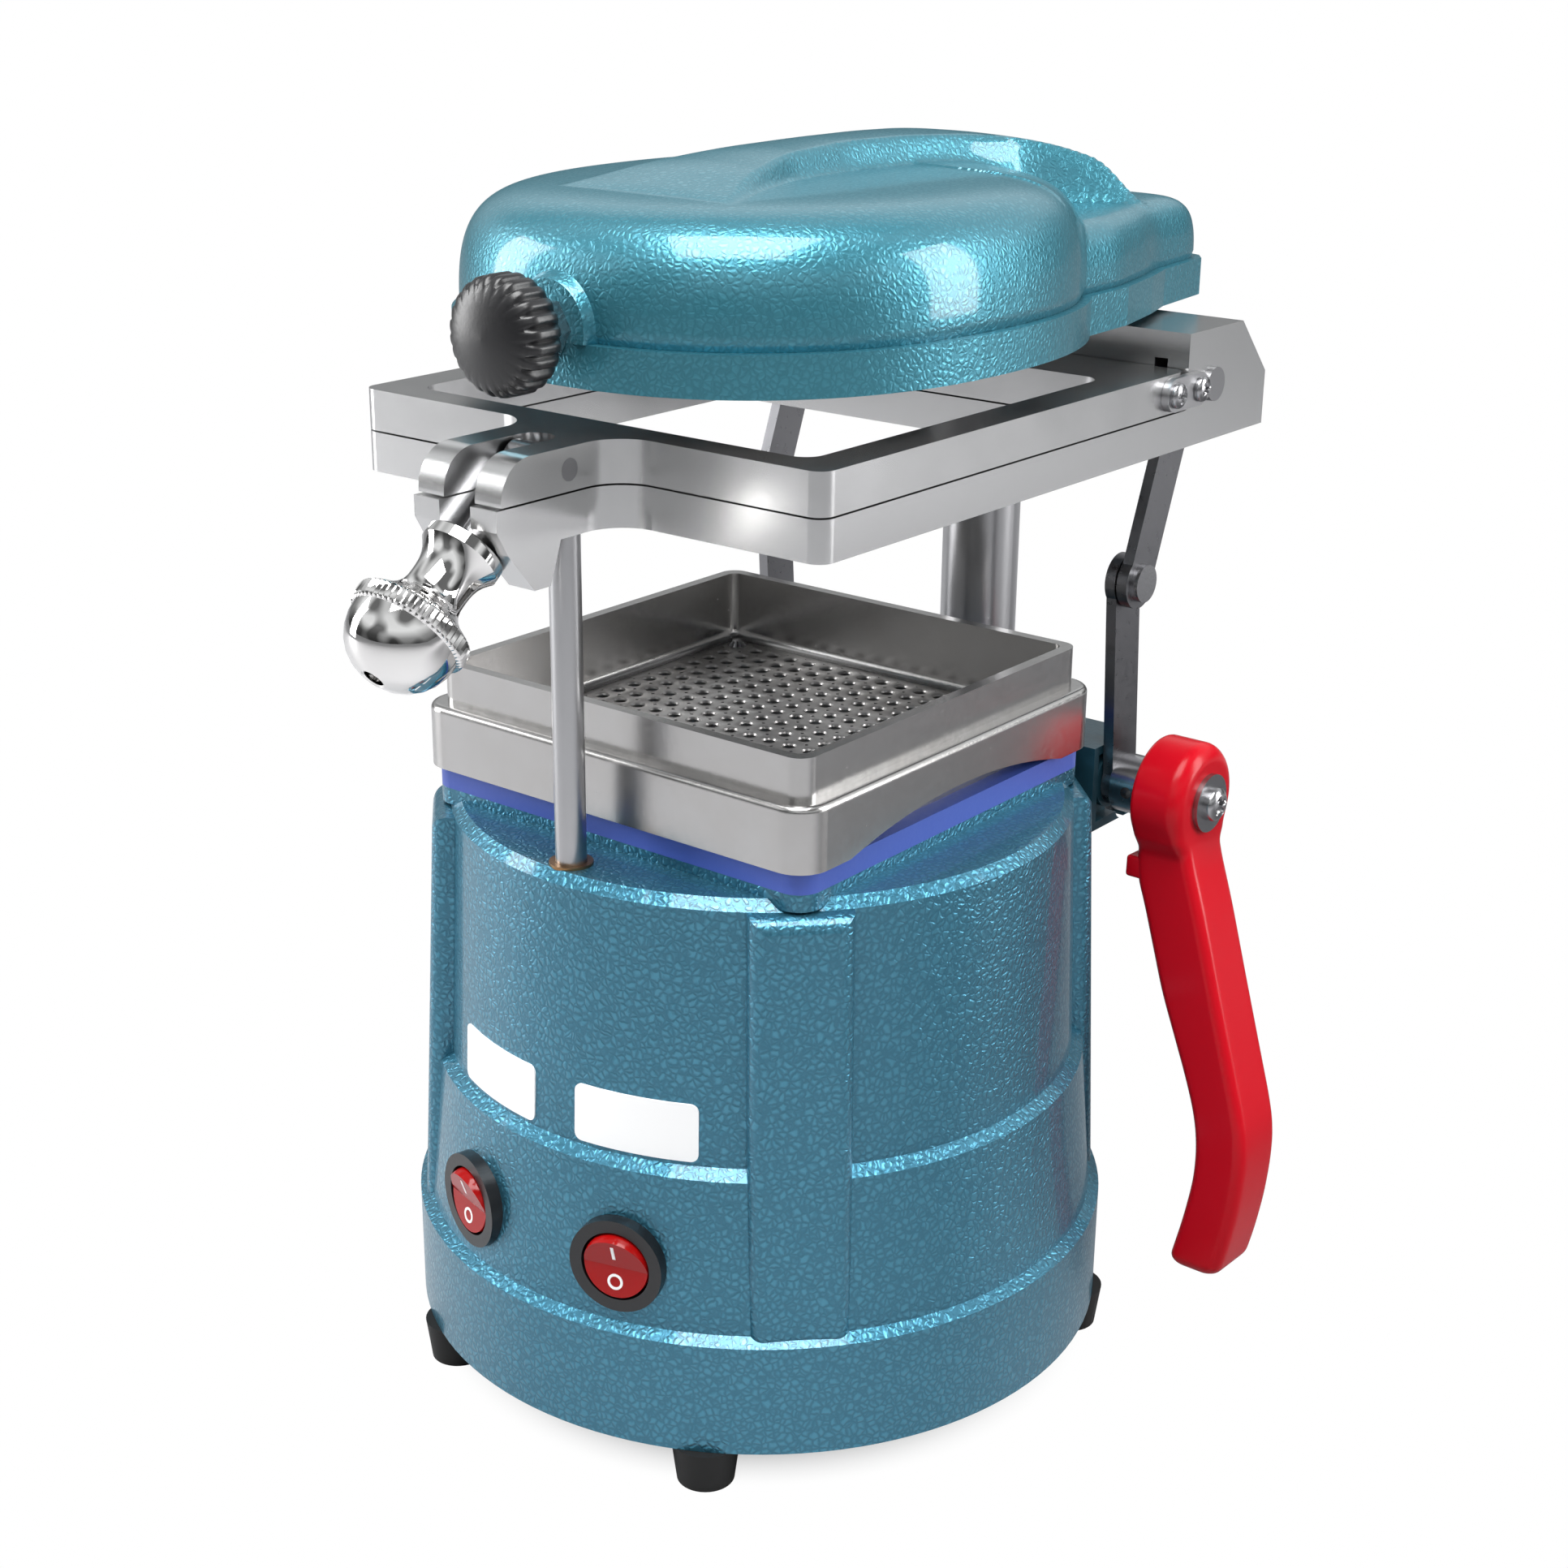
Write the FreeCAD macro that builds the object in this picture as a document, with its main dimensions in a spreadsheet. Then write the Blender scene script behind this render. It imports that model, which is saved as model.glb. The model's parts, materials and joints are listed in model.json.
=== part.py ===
import FreeCAD, Part

import math
import os
import re
import Sketcher
from FreeCAD import Placement, Rotation, Vector

# Bench-top vacuum former for square sheets.
# +X is the lever side, the front faces -Y and +Z is up. The origin is on the drum's axis, in the
# plane that the feet stand on. All lengths are in millimetres and all angles in degrees.

SIZES = [
    # Clearances and overruns shared by the whole model
    ("seat_gap", 0.15, "gap round a piece that is fixed in a hole"),
    ("slide_gap", 0.05, "radial gap of a shaft or column in its bearing"),
    ("swing_gap", 0.4, "gap between pieces that move past each other"),
    ("over_cut", 2.0, "how far a cutting tool runs past the surface"),
    # Drum casting
    ("foot_height", 11.0, "floor to the underside of the drum"),
    ("skirt_radius", 92.4, "outer radius of the skirt"),
    ("skirt_top", 40.8, "top of the skirt"),
    ("step_radius", 89.5, "drum radius just above the skirt"),
    ("step_top", 42.6, "top of the slope above the skirt"),
    ("waist_radius", 86.0, "drum radius under the shoulder"),
    ("waist_top", 82.3, "underside of the shoulder"),
    ("shoulder_radius", 83.0, "drum radius above the shoulder"),
    ("shoulder_top", 84.5, "top of the shoulder"),
    ("drum_top_radius", 80.3, "drum radius at its top"),
    ("drum_top", 152.0, "top of the drum"),
    ("drum_round", 2.5, "rounding of the drum's top edge"),
    ("drum_wall", 3.6, "thickness of the casting"),
    ("rib_foot_proud", 1.0, "height of a corner rib above the drum at the skirt"),
    ("rib_foot_radius", "=step_radius + rib_foot_proud", "reach of a corner rib at the skirt"),
    ("rib_top_proud", 4.7, "height of a corner rib above the drum at its top"),
    ("rib_top_radius", "=drum_top_radius + rib_top_proud", "reach of a corner rib at its top"),
    ("rib_top", 149.5, "top of a corner rib"),
    ("rib_width", 25.0, "width of a corner rib"),
    ("rib_round", 3.8, "rounding of a corner rib"),
    ("rib_angle", 45.0, "azimuth of the first corner rib"),
    ("platform_half", 60.0, "half width of the platform under the pad"),
    ("platform_top", 154.5, "top of the platform"),
    ("platform_round", 6.0, "corner radius of the platform"),
    ("suction_radius", 9.0, "hole in the platform over the motor"),
    ("ledge_bottom", 122.0, "underside of the rear ledge"),
    ("boss_radius", 16.5, "radius of the column's boss"),
    ("boss_bottom", 66.0, "underside of the column's boss"),
    ("boss_floor", 8.0, "metal left under the column"),
    ("cover_thick", 2.0, "thickness of the bottom cover"),
    ("cover_inset", 4.0, "depth of the bottom cover's seat above the skirt's edge"),
    ("vent_radius", 2.5, "vent hole in the bottom cover"),
    ("vent_circle", 52.0, "circle of the vent holes"),
    ("vent_count", 10, "number of vent holes"),
    ("lug_radius", 6.0, "radius of a foot's lug inside the skirt"),
    # Feet
    ("foot_circle", 86.2, "circle that the feet stand on"),
    ("foot_top_radius", 8.6, "radius of a foot at its top"),
    ("foot_end_radius", 7.2, "radius of a foot at the floor"),
    ("foot_screw_radius", 1.9, "radius of a foot's screw"),
    ("foot_screw_head", 3.4, "radius of the head of a foot's screw"),
    ("foot_screw_sink", 4.0, "depth of the head inside the foot"),
    ("foot_screw_long", 15.0, "length of a foot's screw"),
    # Motor inside the drum
    ("motor_radius", 50.0, "radius of the vacuum motor"),
    ("motor_tall", 60.0, "height of the vacuum motor"),
    ("fan_radius", 56.0, "radius of the motor's fan case"),
    ("fan_tall", 34.0, "height of the motor's fan case"),
    ("gasket_inner", 30.0, "inner radius of the motor's gasket"),
    ("gasket_outer", 50.0, "outer radius of the motor's gasket"),
    ("gasket_thick", 4.0, "thickness of the motor's gasket"),
    # Rocker switches and the plates over them
    ("switch_turn", 16.0, "azimuth of a switch either side of the front"),
    ("switch_height", 58.0, "height of the switches"),
    ("bezel_radius", 12.25, "outer radius of a switch's rim"),
    ("bezel_out", 2.2, "how far a switch's rim stands out"),
    ("barrel_radius", 10.2, "radius of a switch's barrel"),
    ("barrel_deep", 17.0, "depth of a switch's barrel behind the wall"),
    ("rocker_radius", 8.65, "radius of a rocker"),
    ("rocker_out", 3.6, "how far a rocker's raised end stands out"),
    ("rocker_deep", 5.0, "depth of the well under a rocker"),
    ("rocker_tilt", 6.5, "tilt of a rocker in its off position"),
    # Inlet
    ("inlet_wide", 27.0, "width of the power inlet"),
    ("inlet_tall", 20.0, "height of the power inlet"),
    ("inlet_deep", 16.0, "depth of the power inlet"),
    ("inlet_flange", 10.5, "how far the inlet's flange reaches on each side"),
    ("inlet_flange_thick", 3.0, "thickness of the inlet's flange"),
    ("inlet_height", 38.0, "height of the inlet's centre"),
    ("inlet_well", 11.0, "depth of the inlet's socket"),
    # Pad and forming tray
    ("pad_top", 160.2, "top of the seal pad"),
    ("pad_inner_half", 47.0, "half width of the opening in the seal pad"),
    ("flange_half", 62.0, "half width of the tray's flange"),
    ("flange_top", 176.5, "top of the tray's flange"),
    ("flange_edge", 1.6, "rounding of the flange's upper edge"),
    ("flange_round", 8.0, "corner radius of the tray's flange"),
    ("rim_half", 58.0, "half width of the tray's rim"),
    ("rim_top", 186.8, "top of the tray's rim"),
    ("rim_round", 4.5, "outer corner radius of the tray's rim"),
    ("rim_wall", 3.0, "thickness of the tray's rim"),
    ("floor_top", 168.0, "top of the perforated floor"),
    ("floor_thick", 1.6, "thickness of the perforated floor"),
    ("floor_shelf", 3.0, "shelf that carries the perforated floor"),
    ("cove_radius", 2.4, "rounding at the foot of the rim"),
    ("arch_half", 45.0, "half length of the arch under the flange"),
    ("arch_tall", 5.9, "height of the arch under the flange"),
    ("arch_deep", 7.0, "depth of the arch under the flange"),
    ("hole_pitch", 6.3, "spacing of the floor's holes"),
    ("hole_radius", 1.75, "radius of a hole in the floor"),
    ("hole_margin", 1.6, "floor left outside the holes"),
    ("hole_corner", 9.0, "floor without holes at each corner"),
    ("shelf_round", 15.0, "corner radius of the opening under the floor"),
    ("tray_screw_inset", 4.0, "floor's edge to the axis of a corner screw"),
    ("tray_screw_radius", 1.4, "radius of a corner screw"),
    ("tray_screw_head", 2.6, "radius of the head of a corner screw"),
    ("tray_screw_proud", 1.4, "height of the head of a corner screw"),
    ("tray_screw_long", 6.0, "length of a corner screw under its head"),
    # Column, guide rod and its bush
    ("column_y", 97.6, "column's axis behind the drum's axis"),
    ("column_radius", 10.75, "radius of the column"),
    ("rod_y", 72.7, "guide rod's axis in front of the drum's axis"),
    ("rod_radius", 3.75, "radius of the guide rod"),
    ("rod_end", 137.0, "lower end of the guide rod"),
    ("rod_grip", 7.0, "depth of the guide rod in the lower frame"),
    ("bush_radius", 5.3, "outer radius of the guide rod's bush"),
    ("bush_long", 7.0, "length of the guide rod's bush"),
    ("bush_proud", 0.6, "height of the guide rod's bush above the drum"),
    # Sheet frames
    ("frame_half", 70.0, "half width of the frames"),
    ("frame_front", 68.2, "front edge of the frames from the drum's axis"),
    ("lower_bottom", 235.85, "underside of the lower frame"),
    ("lower_top", 245.55, "top of the lower frame"),
    ("sheet_gap", 0.45, "space for the sheet between the frames"),
    ("upper_thick", 9.9, "thickness of the upper frame"),
    ("upper_back", 83.2, "rear edge of the upper frame"),
    ("frame_corner", 4.0, "corner radius of the frames"),
    ("window_half", 59.5, "half width of the frames' window"),
    ("window_round", 5.0, "corner radius of the frames' window"),
    ("edge_chamfer", 0.8, "bevel on the upper frame's edges"),
    ("block_front", 83.9, "front face of the rear block"),
    ("block_back", 125.7, "rear face of the block at its foot"),
    ("block_back_top", 111.4, "rear face of the block at its top"),
    ("block_top", 265.0, "top of the rear block"),
    ("block_step", 250.0, "height where the block's rear face starts to slope"),
    ("collar_radius", 12.6, "outer radius of the column's bushes"),
    ("collar_long", 9.0, "length of a column bush"),
    # Clamp at the front of the frames
    ("clamp_half", 12.5, "half width of the clamp's lugs"),
    ("clamp_slot", 9.4, "width of the slot for the swing bolt"),
    ("lower_root", 78.6, "root of the lower lug's slot from the drum's axis"),
    ("upper_root", 77.0, "root of the upper lug's slot from the drum's axis"),
    ("clamp_flare", 10.0, "radius where a lug runs into its frame"),
    ("upper_lug_front", 105.0, "front of the upper lug"),
    ("lower_lug_front", 106.5, "front of the lower lug at its top"),
    ("clamp_tip_front", 95.5, "front of the lower lug at its tip"),
    ("clamp_tip_back", 90.4, "back of the lower lug at its tip"),
    ("clamp_tip", 226.0, "tip of the lower lug"),
    ("clamp_foot_back", 86.9, "back of the lower lug under the frame"),
    ("clamp_pin_y", 83.7, "swing bolt's pivot in front of the drum's axis"),
    ("clamp_pin_z", 250.8, "height of the swing bolt's pivot"),
    ("clamp_pin_radius", 2.5, "radius of the swing bolt's pivot pins"),
    ("bolt_dip", 38.5, "slope of the closed swing bolt below level"),
    ("bolt_radius", 3.2, "radius of the swing bolt's shank"),
    ("bolt_eye", 4.5, "radius of the swing bolt's eye"),
    ("bolt_wide", 7.2, "width of the swing bolt's eye"),
    ("bolt_end", 52.0, "pivot to the end of the swing bolt"),
    ("knob_seat", 25.2, "pivot to the inner face of the clamp knob"),
    ("knob_collar_radius", 9.4, "radius of the clamp knob's collar"),
    ("knob_collar_thick", 3.5, "thickness of the clamp knob's collar"),
    ("knob_waist_radius", 6.8, "radius of the clamp knob's waist"),
    ("knob_ring_start", 45.0, "pivot to the knurled ring"),
    ("knob_ring_end", 49.5, "pivot to the far side of the knurled ring"),
    ("knob_ring_radius", 14.0, "radius of the knurled ring"),
    ("knob_dome_radius", 12.9, "radius of the clamp knob's dome"),
    ("knob_end", 62.0, "pivot to the end of the clamp knob"),
    ("knob_hole_radius", 2.4, "radius of the hole in the clamp knob's end"),
    ("knob_hole_deep", 3.0, "depth of the hole in the clamp knob's end"),
    # Upper frame's hinge
    ("hinge_y", 87.0, "upper frame's hinge behind the drum's axis"),
    ("hinge_z", 251.0, "height of the upper frame's hinge"),
    ("strap_thick", 2.0, "thickness of a hinge strap"),
    ("strap_tall", 8.6, "height of a hinge strap"),
    ("strap_screw_y", 75.0, "screw of a strap in the upper frame"),
    ("strap_screw_radius", 1.6, "radius of a strap's screw"),
    ("screw_head_radius", 3.25, "radius of a pan head"),
    ("screw_head_proud", 2.0, "height of a pan head"),
    ("strap_screw_long", 6.0, "length of a strap's screw in the frame"),
    # Drive shaft, cranks and links
    ("shaft_y", 81.5, "drive shaft behind the drum's axis"),
    ("shaft_z", 143.3, "height of the drive shaft"),
    ("shaft_radius", 4.0, "radius of the drive shaft"),
    ("knee_y", 77.5, "knee of the linkage at rest"),
    ("knee_z", 200.4, "height of the knee at rest"),
    ("link_pin_y", 96.5, "upper pin of the links"),
    ("link_pin_z", 250.7, "height of the upper pin of the links"),
    ("bar_wide", 12.0, "width of the linkage's bars"),
    ("bar_thick", 3.0, "thickness of the linkage's bars"),
    ("bar_eye", 7.0, "radius of the bars' ends"),
    ("crank_inset", 13.0, "inner face of a crank inside the frames' edge"),
    ("crank_inner", "=frame_half - crank_inset", "inner face of a crank from the middle"),
    ("link_inset", 9.5, "inner face of a link inside the frames' edge"),
    ("link_inner", "=frame_half - link_inset", "inner face of a link from the middle"),
    ("knee_pin_radius", 3.0, "radius of the knee pins"),
    ("knee_head_radius", 5.0, "radius of the knee pins' heads"),
    ("knee_head_thick", 2.0, "thickness of the knee pins' heads"),
    ("link_pin_radius", 3.0, "radius of the links' upper pins"),
    ("link_head_radius", 4.4, "radius of the heads of the links' upper pins"),
    ("link_head_proud", 1.4, "height of the heads of the links' upper pins"),
    ("link_wall", 2.2, "wall behind a link's slot"),
    ("link_slot_back", "=block_back - link_wall", "rear end of a link's slot in the block"),
    ("link_slot_front", 82.0, "front end of a link's slot in the block"),
    # Bearing brackets
    ("bracket_play", 0.7, "space between a bearing bracket and its crank"),
    ("bracket_outer", "=crank_inner - bracket_play", "outer face of a bearing bracket"),
    ("bracket_thick", 22.3, "thickness of a bearing bracket"),
    ("ledge_half", "=bracket_outer - bracket_thick", "half width of the rear ledge"),
    ("bracket_front", 71.5, "front face of a bearing bracket"),
    ("bracket_back", 92.5, "rear face of a bearing bracket"),
    ("bracket_bottom", 130.3, "underside of a bearing bracket"),
    ("bracket_top", 154.3, "top of a bearing bracket"),
    ("bracket_recess", 3.5, "depth of the recess in a bracket's face"),
    ("bracket_lip", 2.4, "wall left round the recess"),
    ("bracket_hole_radius", 1.3, "oil hole of a bearing bracket"),
    ("bracket_screw_radius", 1.9, "radius of a bracket's screw"),
    ("bracket_screw_head", 3.2, "radius of the head of a bracket's screw"),
    ("bracket_screw_grip", 8.0, "length of a bracket's screw in the ledge"),
    ("collar_out_radius", 8.0, "radius of the shaft's collars"),
    ("left_collar_long", 8.0, "length of the collar on the lever's far side"),
    ("grub_radius", 1.6, "radius of a collar's screw hole"),
    # Lever
    ("hub_inner_gap", 0.5, "space between the frames' edge and the lever's hub"),
    ("hub_inner", "=frame_half + hub_inner_gap", "inner face of the lever's hub"),
    ("hub_thick", 15.0, "thickness of the lever's hub"),
    ("hub_outer", "=hub_inner + hub_thick", "outer face of the lever's hub"),
    ("hub_radius", 15.5, "radius of the lever's hub"),
    ("hub_round", 4.0, "rounding of the hub's outer edge"),
    ("lever_front", 9.0, "lever's half depth"),
    ("lever_lean", 2.6, "forward lean of the hanging lever"),
    ("lever_round", 2.2, "rounding of the lever's edges"),
    ("lever_reach", 131.0, "hub's axis to the end of the lever"),
    ("lever_swing", 23.6, "how far the lever's grip stands out from the hub"),
    ("lever_step", 3.0, "thickness of the lever's stop tab"),
    ("washer_radius", 7.9, "radius of the washer on the hub"),
    ("washer_thick", 1.4, "thickness of the washer on the hub"),
    ("lever_screw_head", 4.6, "radius of the lever's screw head"),
    ("lever_screw_proud", 3.1, "height of the lever's screw head"),
    ("lever_screw_radius", 1.9, "radius of the lever's screw"),
    ("lever_screw_long", 9.0, "length of the lever's screw in the shaft"),
    # Heater head
    ("rim_bottom", 266.8, "underside of the heater's rim"),
    ("rim_tall", 9.7, "height of the heater's rim"),
    ("rim_seam", "=rim_bottom + rim_tall", "seam between the heater's rim and its cover"),
    ("head_inset", 0.6, "heater's side inside the frames' edge"),
    ("head_half", "=frame_half - head_inset", "half width of the heater"),
    ("head_long", 80.7, "half length of the heater's round part"),
    ("head_shift", 4.5, "centre of the heater's round part behind the drum's axis"),
    ("lobe_back", 139.0, "rear end of the heater's lobe"),
    ("cover_ledge", 1.8, "ledge between the rim and the cover"),
    ("dome_rise", 29.5, "height of the heater's dome above the seam"),
    ("spine_rise", 36.5, "height of the spine on the dome above the seam"),
    ("spine_flank", 1.4, "run of the spine's sides"),
    ("lobe_rise", 17.0, "height of the heater's rear lobe above the seam"),
    ("head_wall", 2.6, "thickness of the heater's castings"),
    ("sleeve_radius", 17.0, "outer radius of the heater's sleeve on the column"),
    ("sleeve_lift", 1.7, "underside of the heater's sleeve above the rim's underside"),
    ("sleeve_bottom", "=rim_bottom + sleeve_lift", "underside of the heater's sleeve"),
    ("sleeve_rise", 14.0, "top of the heater's sleeve above the seam"),
    ("sleeve_roof", "=rim_seam + sleeve_rise", "top of the heater's sleeve"),
    ("column_short", 2.5, "column's top below the top of the sleeve"),
    ("column_top", "=sleeve_roof - column_short", "top of the column"),
    ("reflector_half", 46.0, "half width of the heater's reflector"),
    ("reflector_deep", 12.0, "depth of the heater's reflector"),
    ("reflector_thick", 1.2, "thickness of the heater's reflector"),
    ("coil_radius", 3.2, "radius of the heating element's tube"),
    ("coil_pitch", 15.0, "spacing of the heating element's runs"),
    ("coil_half", 32.0, "half length of the heating element's runs"),
    ("coil_drop", 6.3, "heating element below the reflector's roof"),
    ("coil_height", "=rim_seam + reflector_deep - reflector_thick - coil_drop", "height of the heating element"),
    ("stand_radius", 2.0, "radius of the heating element's hangers"),
    # Heater's knob
    ("grip_lift", 2.8, "heater's knob above the seam"),
    ("grip_z", "=rim_seam + grip_lift", "height of the heater's knob"),
    ("nut_start", 76.4, "inner face of the knob's nut from the drum's axis"),
    ("nut_end", 82.0, "outer face of the knob's nut"),
    ("nut_radius", 6.9, "radius of the knob's nut over its corners"),
    ("grip_end", 97.0, "front face of the heater's knob"),
    ("grip_radius", 13.25, "radius of the heater's knob"),
    ("grip_boss", 11.0, "radius of the pad behind the knob's nut"),
]

doc = FreeCAD.newDocument("vacuum_former")
dims = doc.addObject("Spreadsheet::Sheet", "dims")
for row, (alias, number, note) in enumerate(SIZES, start=1):
    dims.set(f"A{row}", str(number))
    dims.set(f"B{row}", note)
    dims.setAlias(f"A{row}", alias)
doc.recompute()
ALIASES = {alias for alias, number, note in SIZES}


def spell(text):
    """Give an expression in which every size is read from the sheet."""
    return re.sub(r"[a-z_]+", lambda word: f"dims.{word[0]}" if word[0] in ALIASES else word[0], text)


def value(text):
    """Work out an expression of sizes as a number."""
    return float(dims.evalExpression(spell(text)))


def bind(obj, **sizes):
    """Bind an object's properties to expressions of sizes."""
    for name, text in sizes.items():
        obj.setExpression(name, spell(text))
    return obj


def put(obj, x, y, z):
    """Bind the place of an object."""
    for axis, text in (("x", x), ("y", y), ("z", z)):
        obj.setExpression(f"Placement.Base.{axis}", spell(text))
    return obj


TURNS = {
    "Z": Rotation(),
    "X": Rotation(Vector(0, 1, 0), 90),
    "Y": Rotation(Vector(1, 0, 0), -90),
    "-Y": Rotation(Vector(1, 0, 0), 90),
    "-X": Rotation(Vector(0, 1, 0), -90),
}


def rod(name, radius, length, x="0", y="0", z="0", along="Z"):
    """Cylinder from its start point along an axis."""
    obj = doc.addObject("Part::Cylinder", name)
    obj.Placement = Placement(Vector(), TURNS[along])
    return put(bind(obj, Radius=radius, Height=length), x, y, z)


def cone(name, start, end, length, x="0", y="0", z="0", along="Z"):
    """Cone from its start radius to its end radius along an axis."""
    obj = doc.addObject("Part::Cone", name)
    obj.Placement = Placement(Vector(), TURNS[along])
    return put(bind(obj, Radius1=start, Radius2=end, Height=length), x, y, z)


def block(name, x, y, z):
    """Box between two expressions on each axis."""
    obj = doc.addObject("Part::Box", name)
    bind(obj, Length=f"({x[1]}) - ({x[0]})", Width=f"({y[1]}) - ({y[0]})", Height=f"({z[1]}) - ({z[0]})")
    return put(obj, x[0], y[0], z[0])


def fuse(name, *parts):
    """Join overlapping parts into one solid."""
    obj = doc.addObject("Part::MultiFuse", name)
    obj.Shapes = list(parts)
    obj.Refine = True
    return obj


def cut(name, base, *tools):
    """Cut all tools from a base."""
    obj = doc.addObject("Part::Cut", name)
    obj.Base = base
    obj.Tool = tools[0] if len(tools) == 1 else group(f"{name}_tools", *tools)
    obj.Refine = True
    return obj


def group(name, *parts):
    """Keep separate solids together in one object."""
    obj = doc.addObject("Part::Compound", name)
    obj.Links = list(parts)
    return obj


def common(name, base, tool):
    """Keep what two parts share."""
    obj = doc.addObject("Part::Common", name)
    obj.Base = base
    obj.Tool = tool
    return obj


def mirror(name, source):
    """Mirror a part to the other side of the machine."""
    obj = doc.addObject("Part::Mirroring", name)
    obj.Source = source
    obj.Normal = Vector(1, 0, 0)
    return obj


def rounded(name, base, radius, test):
    """Round the edges whose middle and direction pass a test."""
    doc.recompute()
    amount = value(radius)
    edges = []
    for number, edge in enumerate(base.Shape.Edges, start=1):
        middle = edge.valueAt((edge.FirstParameter + edge.LastParameter) / 2)
        along = edge.tangentAt((edge.FirstParameter + edge.LastParameter) / 2)
        if test(middle, along):
            edges.append((number, amount, amount))
    obj = doc.addObject("Part::Fillet", name)
    obj.Base = base
    obj.Edges = edges
    return obj


def outline(body, name, plane, points, turn=0):
    """Closed sketch of straight lines whose corners are bound to sizes."""
    sketch = body.newObject("Sketcher::SketchObject", name)
    sketch.AttachmentSupport = [next(f for f in body.Origin.OriginFeatures if f.Role == plane)]
    sketch.MapMode = "FlatFace"
    sketch.AttachmentOffset = Placement(Vector(), Rotation(Vector(0, 1, 0), turn))
    spots = [Vector(value(x), value(y), 0) for x, y in points]
    for index, spot in enumerate(spots):
        sketch.addGeometry(Part.LineSegment(spot, spots[(index + 1) % len(spots)]), False)
    for index, (x, y) in enumerate(points):
        sketch.addConstraint(Sketcher.Constraint("Coincident", index - 1 if index else len(points) - 1, 2, index, 1))
    for index, (x, y) in enumerate(points):
        for kind, text in (("DistanceX", x), ("DistanceY", y)):
            size = value(text)
            if abs(size) < 1e-9:
                on_axis = -2 if kind == "DistanceX" else -1
                sketch.addConstraint(Sketcher.Constraint("PointOnObject", index, 1, on_axis))
                continue
            ends = (-1, 1, index, 1) if size > 0 else (index, 1, -1, 1)
            number = sketch.addConstraint(Sketcher.Constraint(kind, *ends, abs(size)))
            sketch.setExpression(f"Constraints[{number}]", spell(text if size > 0 else f"-({text})"))
    return sketch


def prism(name, plane, points, length, x="0", y="0", z="0"):
    """Outline on a plane, padded equally to both sides of it."""
    body = doc.addObject("PartDesign::Body", name)
    sketch = outline(body, f"{name}_outline", plane, points)
    pad = body.newObject("PartDesign::Pad", f"{name}_pad")
    pad.Profile = sketch
    pad.Midplane = True
    bind(pad, Length=length)
    put(body, x, y, z)
    return body


def turned(name, points):
    """Outline of radius and height, turned about Z."""
    body = doc.addObject("PartDesign::Body", name)
    sketch = outline(body, f"{name}_outline", "XZ_Plane", points)
    turn = body.newObject("PartDesign::Revolution", f"{name}_turn")
    turn.Profile = sketch
    turn.ReferenceAxis = (sketch, ["V_Axis"])
    turn.Angle = 360
    return body


def slab(name, half_x, front, back, bottom, top, radius, x="0"):
    """Upright block with rounded vertical corners."""
    base = block(f"{name}_block", (f"{x} - ({half_x})", f"{x} + ({half_x})"), (front, back), (bottom, top))
    return rounded(name, base, radius, lambda middle, along: abs(along.z) > 0.9)


def bar(name, inner, thick, ends, radius):
    """Bar along X between two pin centres, with round ends."""
    (y0, z0), (y1, z1) = ends
    dy, dz = value(f"({y1}) - ({y0})"), value(f"({z1}) - ({z0})")
    long = math.hypot(dy, dz)
    straight = doc.addObject("Part::Box", f"{name}_straight")
    bind(straight, Length=thick, Width="bar_wide", Height=f"sqrt((({y1}) - ({y0}))^2 + (({z1}) - ({z0}))^2)")
    turn = Rotation(Vector(0, 0, 1), Vector(0, dy / long, dz / long))
    side = turn.multVec(Vector(0, 1, 0))
    straight.Placement = Placement(Vector(), turn)
    put(straight, inner, f"{y0} - bar_wide / 2 * {side.y}", f"{z0} - bar_wide / 2 * {side.z}")
    eyes = [rod(f"{name}_eye_{i}", radius, thick, inner, y, z, "X") for i, (y, z) in enumerate(ends)]
    return fuse(f"{name}_solid", straight, *eyes)


# Drum casting: a turned shell, four corner ribs, a square platform, the rear ledge and column boss
inner_wall = [
    ("skirt_radius - drum_wall", "foot_height"),
    ("skirt_radius - drum_wall", "skirt_top - drum_wall / 2"),
    ("step_radius - drum_wall", "step_top"),
    ("waist_radius - drum_wall", "waist_top"),
    ("shoulder_radius - drum_wall", "shoulder_top"),
    ("drum_top_radius - drum_wall", "drum_top - drum_wall"),
    ("0", "drum_top - drum_wall"),
]
outer_wall = [
    ("0", "drum_top"),
    ("drum_top_radius - drum_round", "drum_top"),
    ("drum_top_radius", "drum_top - drum_round"),
    ("shoulder_radius", "shoulder_top"),
    ("waist_radius", "waist_top"),
    ("step_radius", "step_top"),
    ("skirt_radius", "skirt_top"),
    ("skirt_radius", "foot_height"),
]
shell = turned("drum_shell", inner_wall + outer_wall)
ribs = []
for number in range(4):
    rib = prism(f"rib_{number}", "XZ_Plane", [
        ("step_radius - drum_wall * 0.95", "skirt_top - drum_wall * 0.95"),
        ("rib_foot_radius", "skirt_top - drum_wall * 0.95"),
        ("rib_foot_radius", "step_top"),
        ("rib_top_radius", "rib_top"),
        ("drum_top_radius - drum_wall * 0.95", "rib_top"),
        ("shoulder_radius - drum_wall * 0.95", "shoulder_top"),
        ("waist_radius - drum_wall * 0.95", "waist_top"),
    ], "rib_width")
    soft_rib = rounded(f"soft_rib_{number}", rib, "rib_round", lambda middle, along: (
        middle.x > value("rib_top_radius - seat_gap")
        and (abs(along.z) > 0.9 or middle.z > value("rib_top - seat_gap"))))
    soft_rib.Placement = Placement(Vector(), Rotation(Vector(0, 0, 1), value("rib_angle") + 90 * number))
    ribs.append(soft_rib)
platform = slab("platform", "platform_half", "-platform_half", "platform_half",
                "drum_top - drum_wall / 2", "platform_top", "platform_round")
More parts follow.
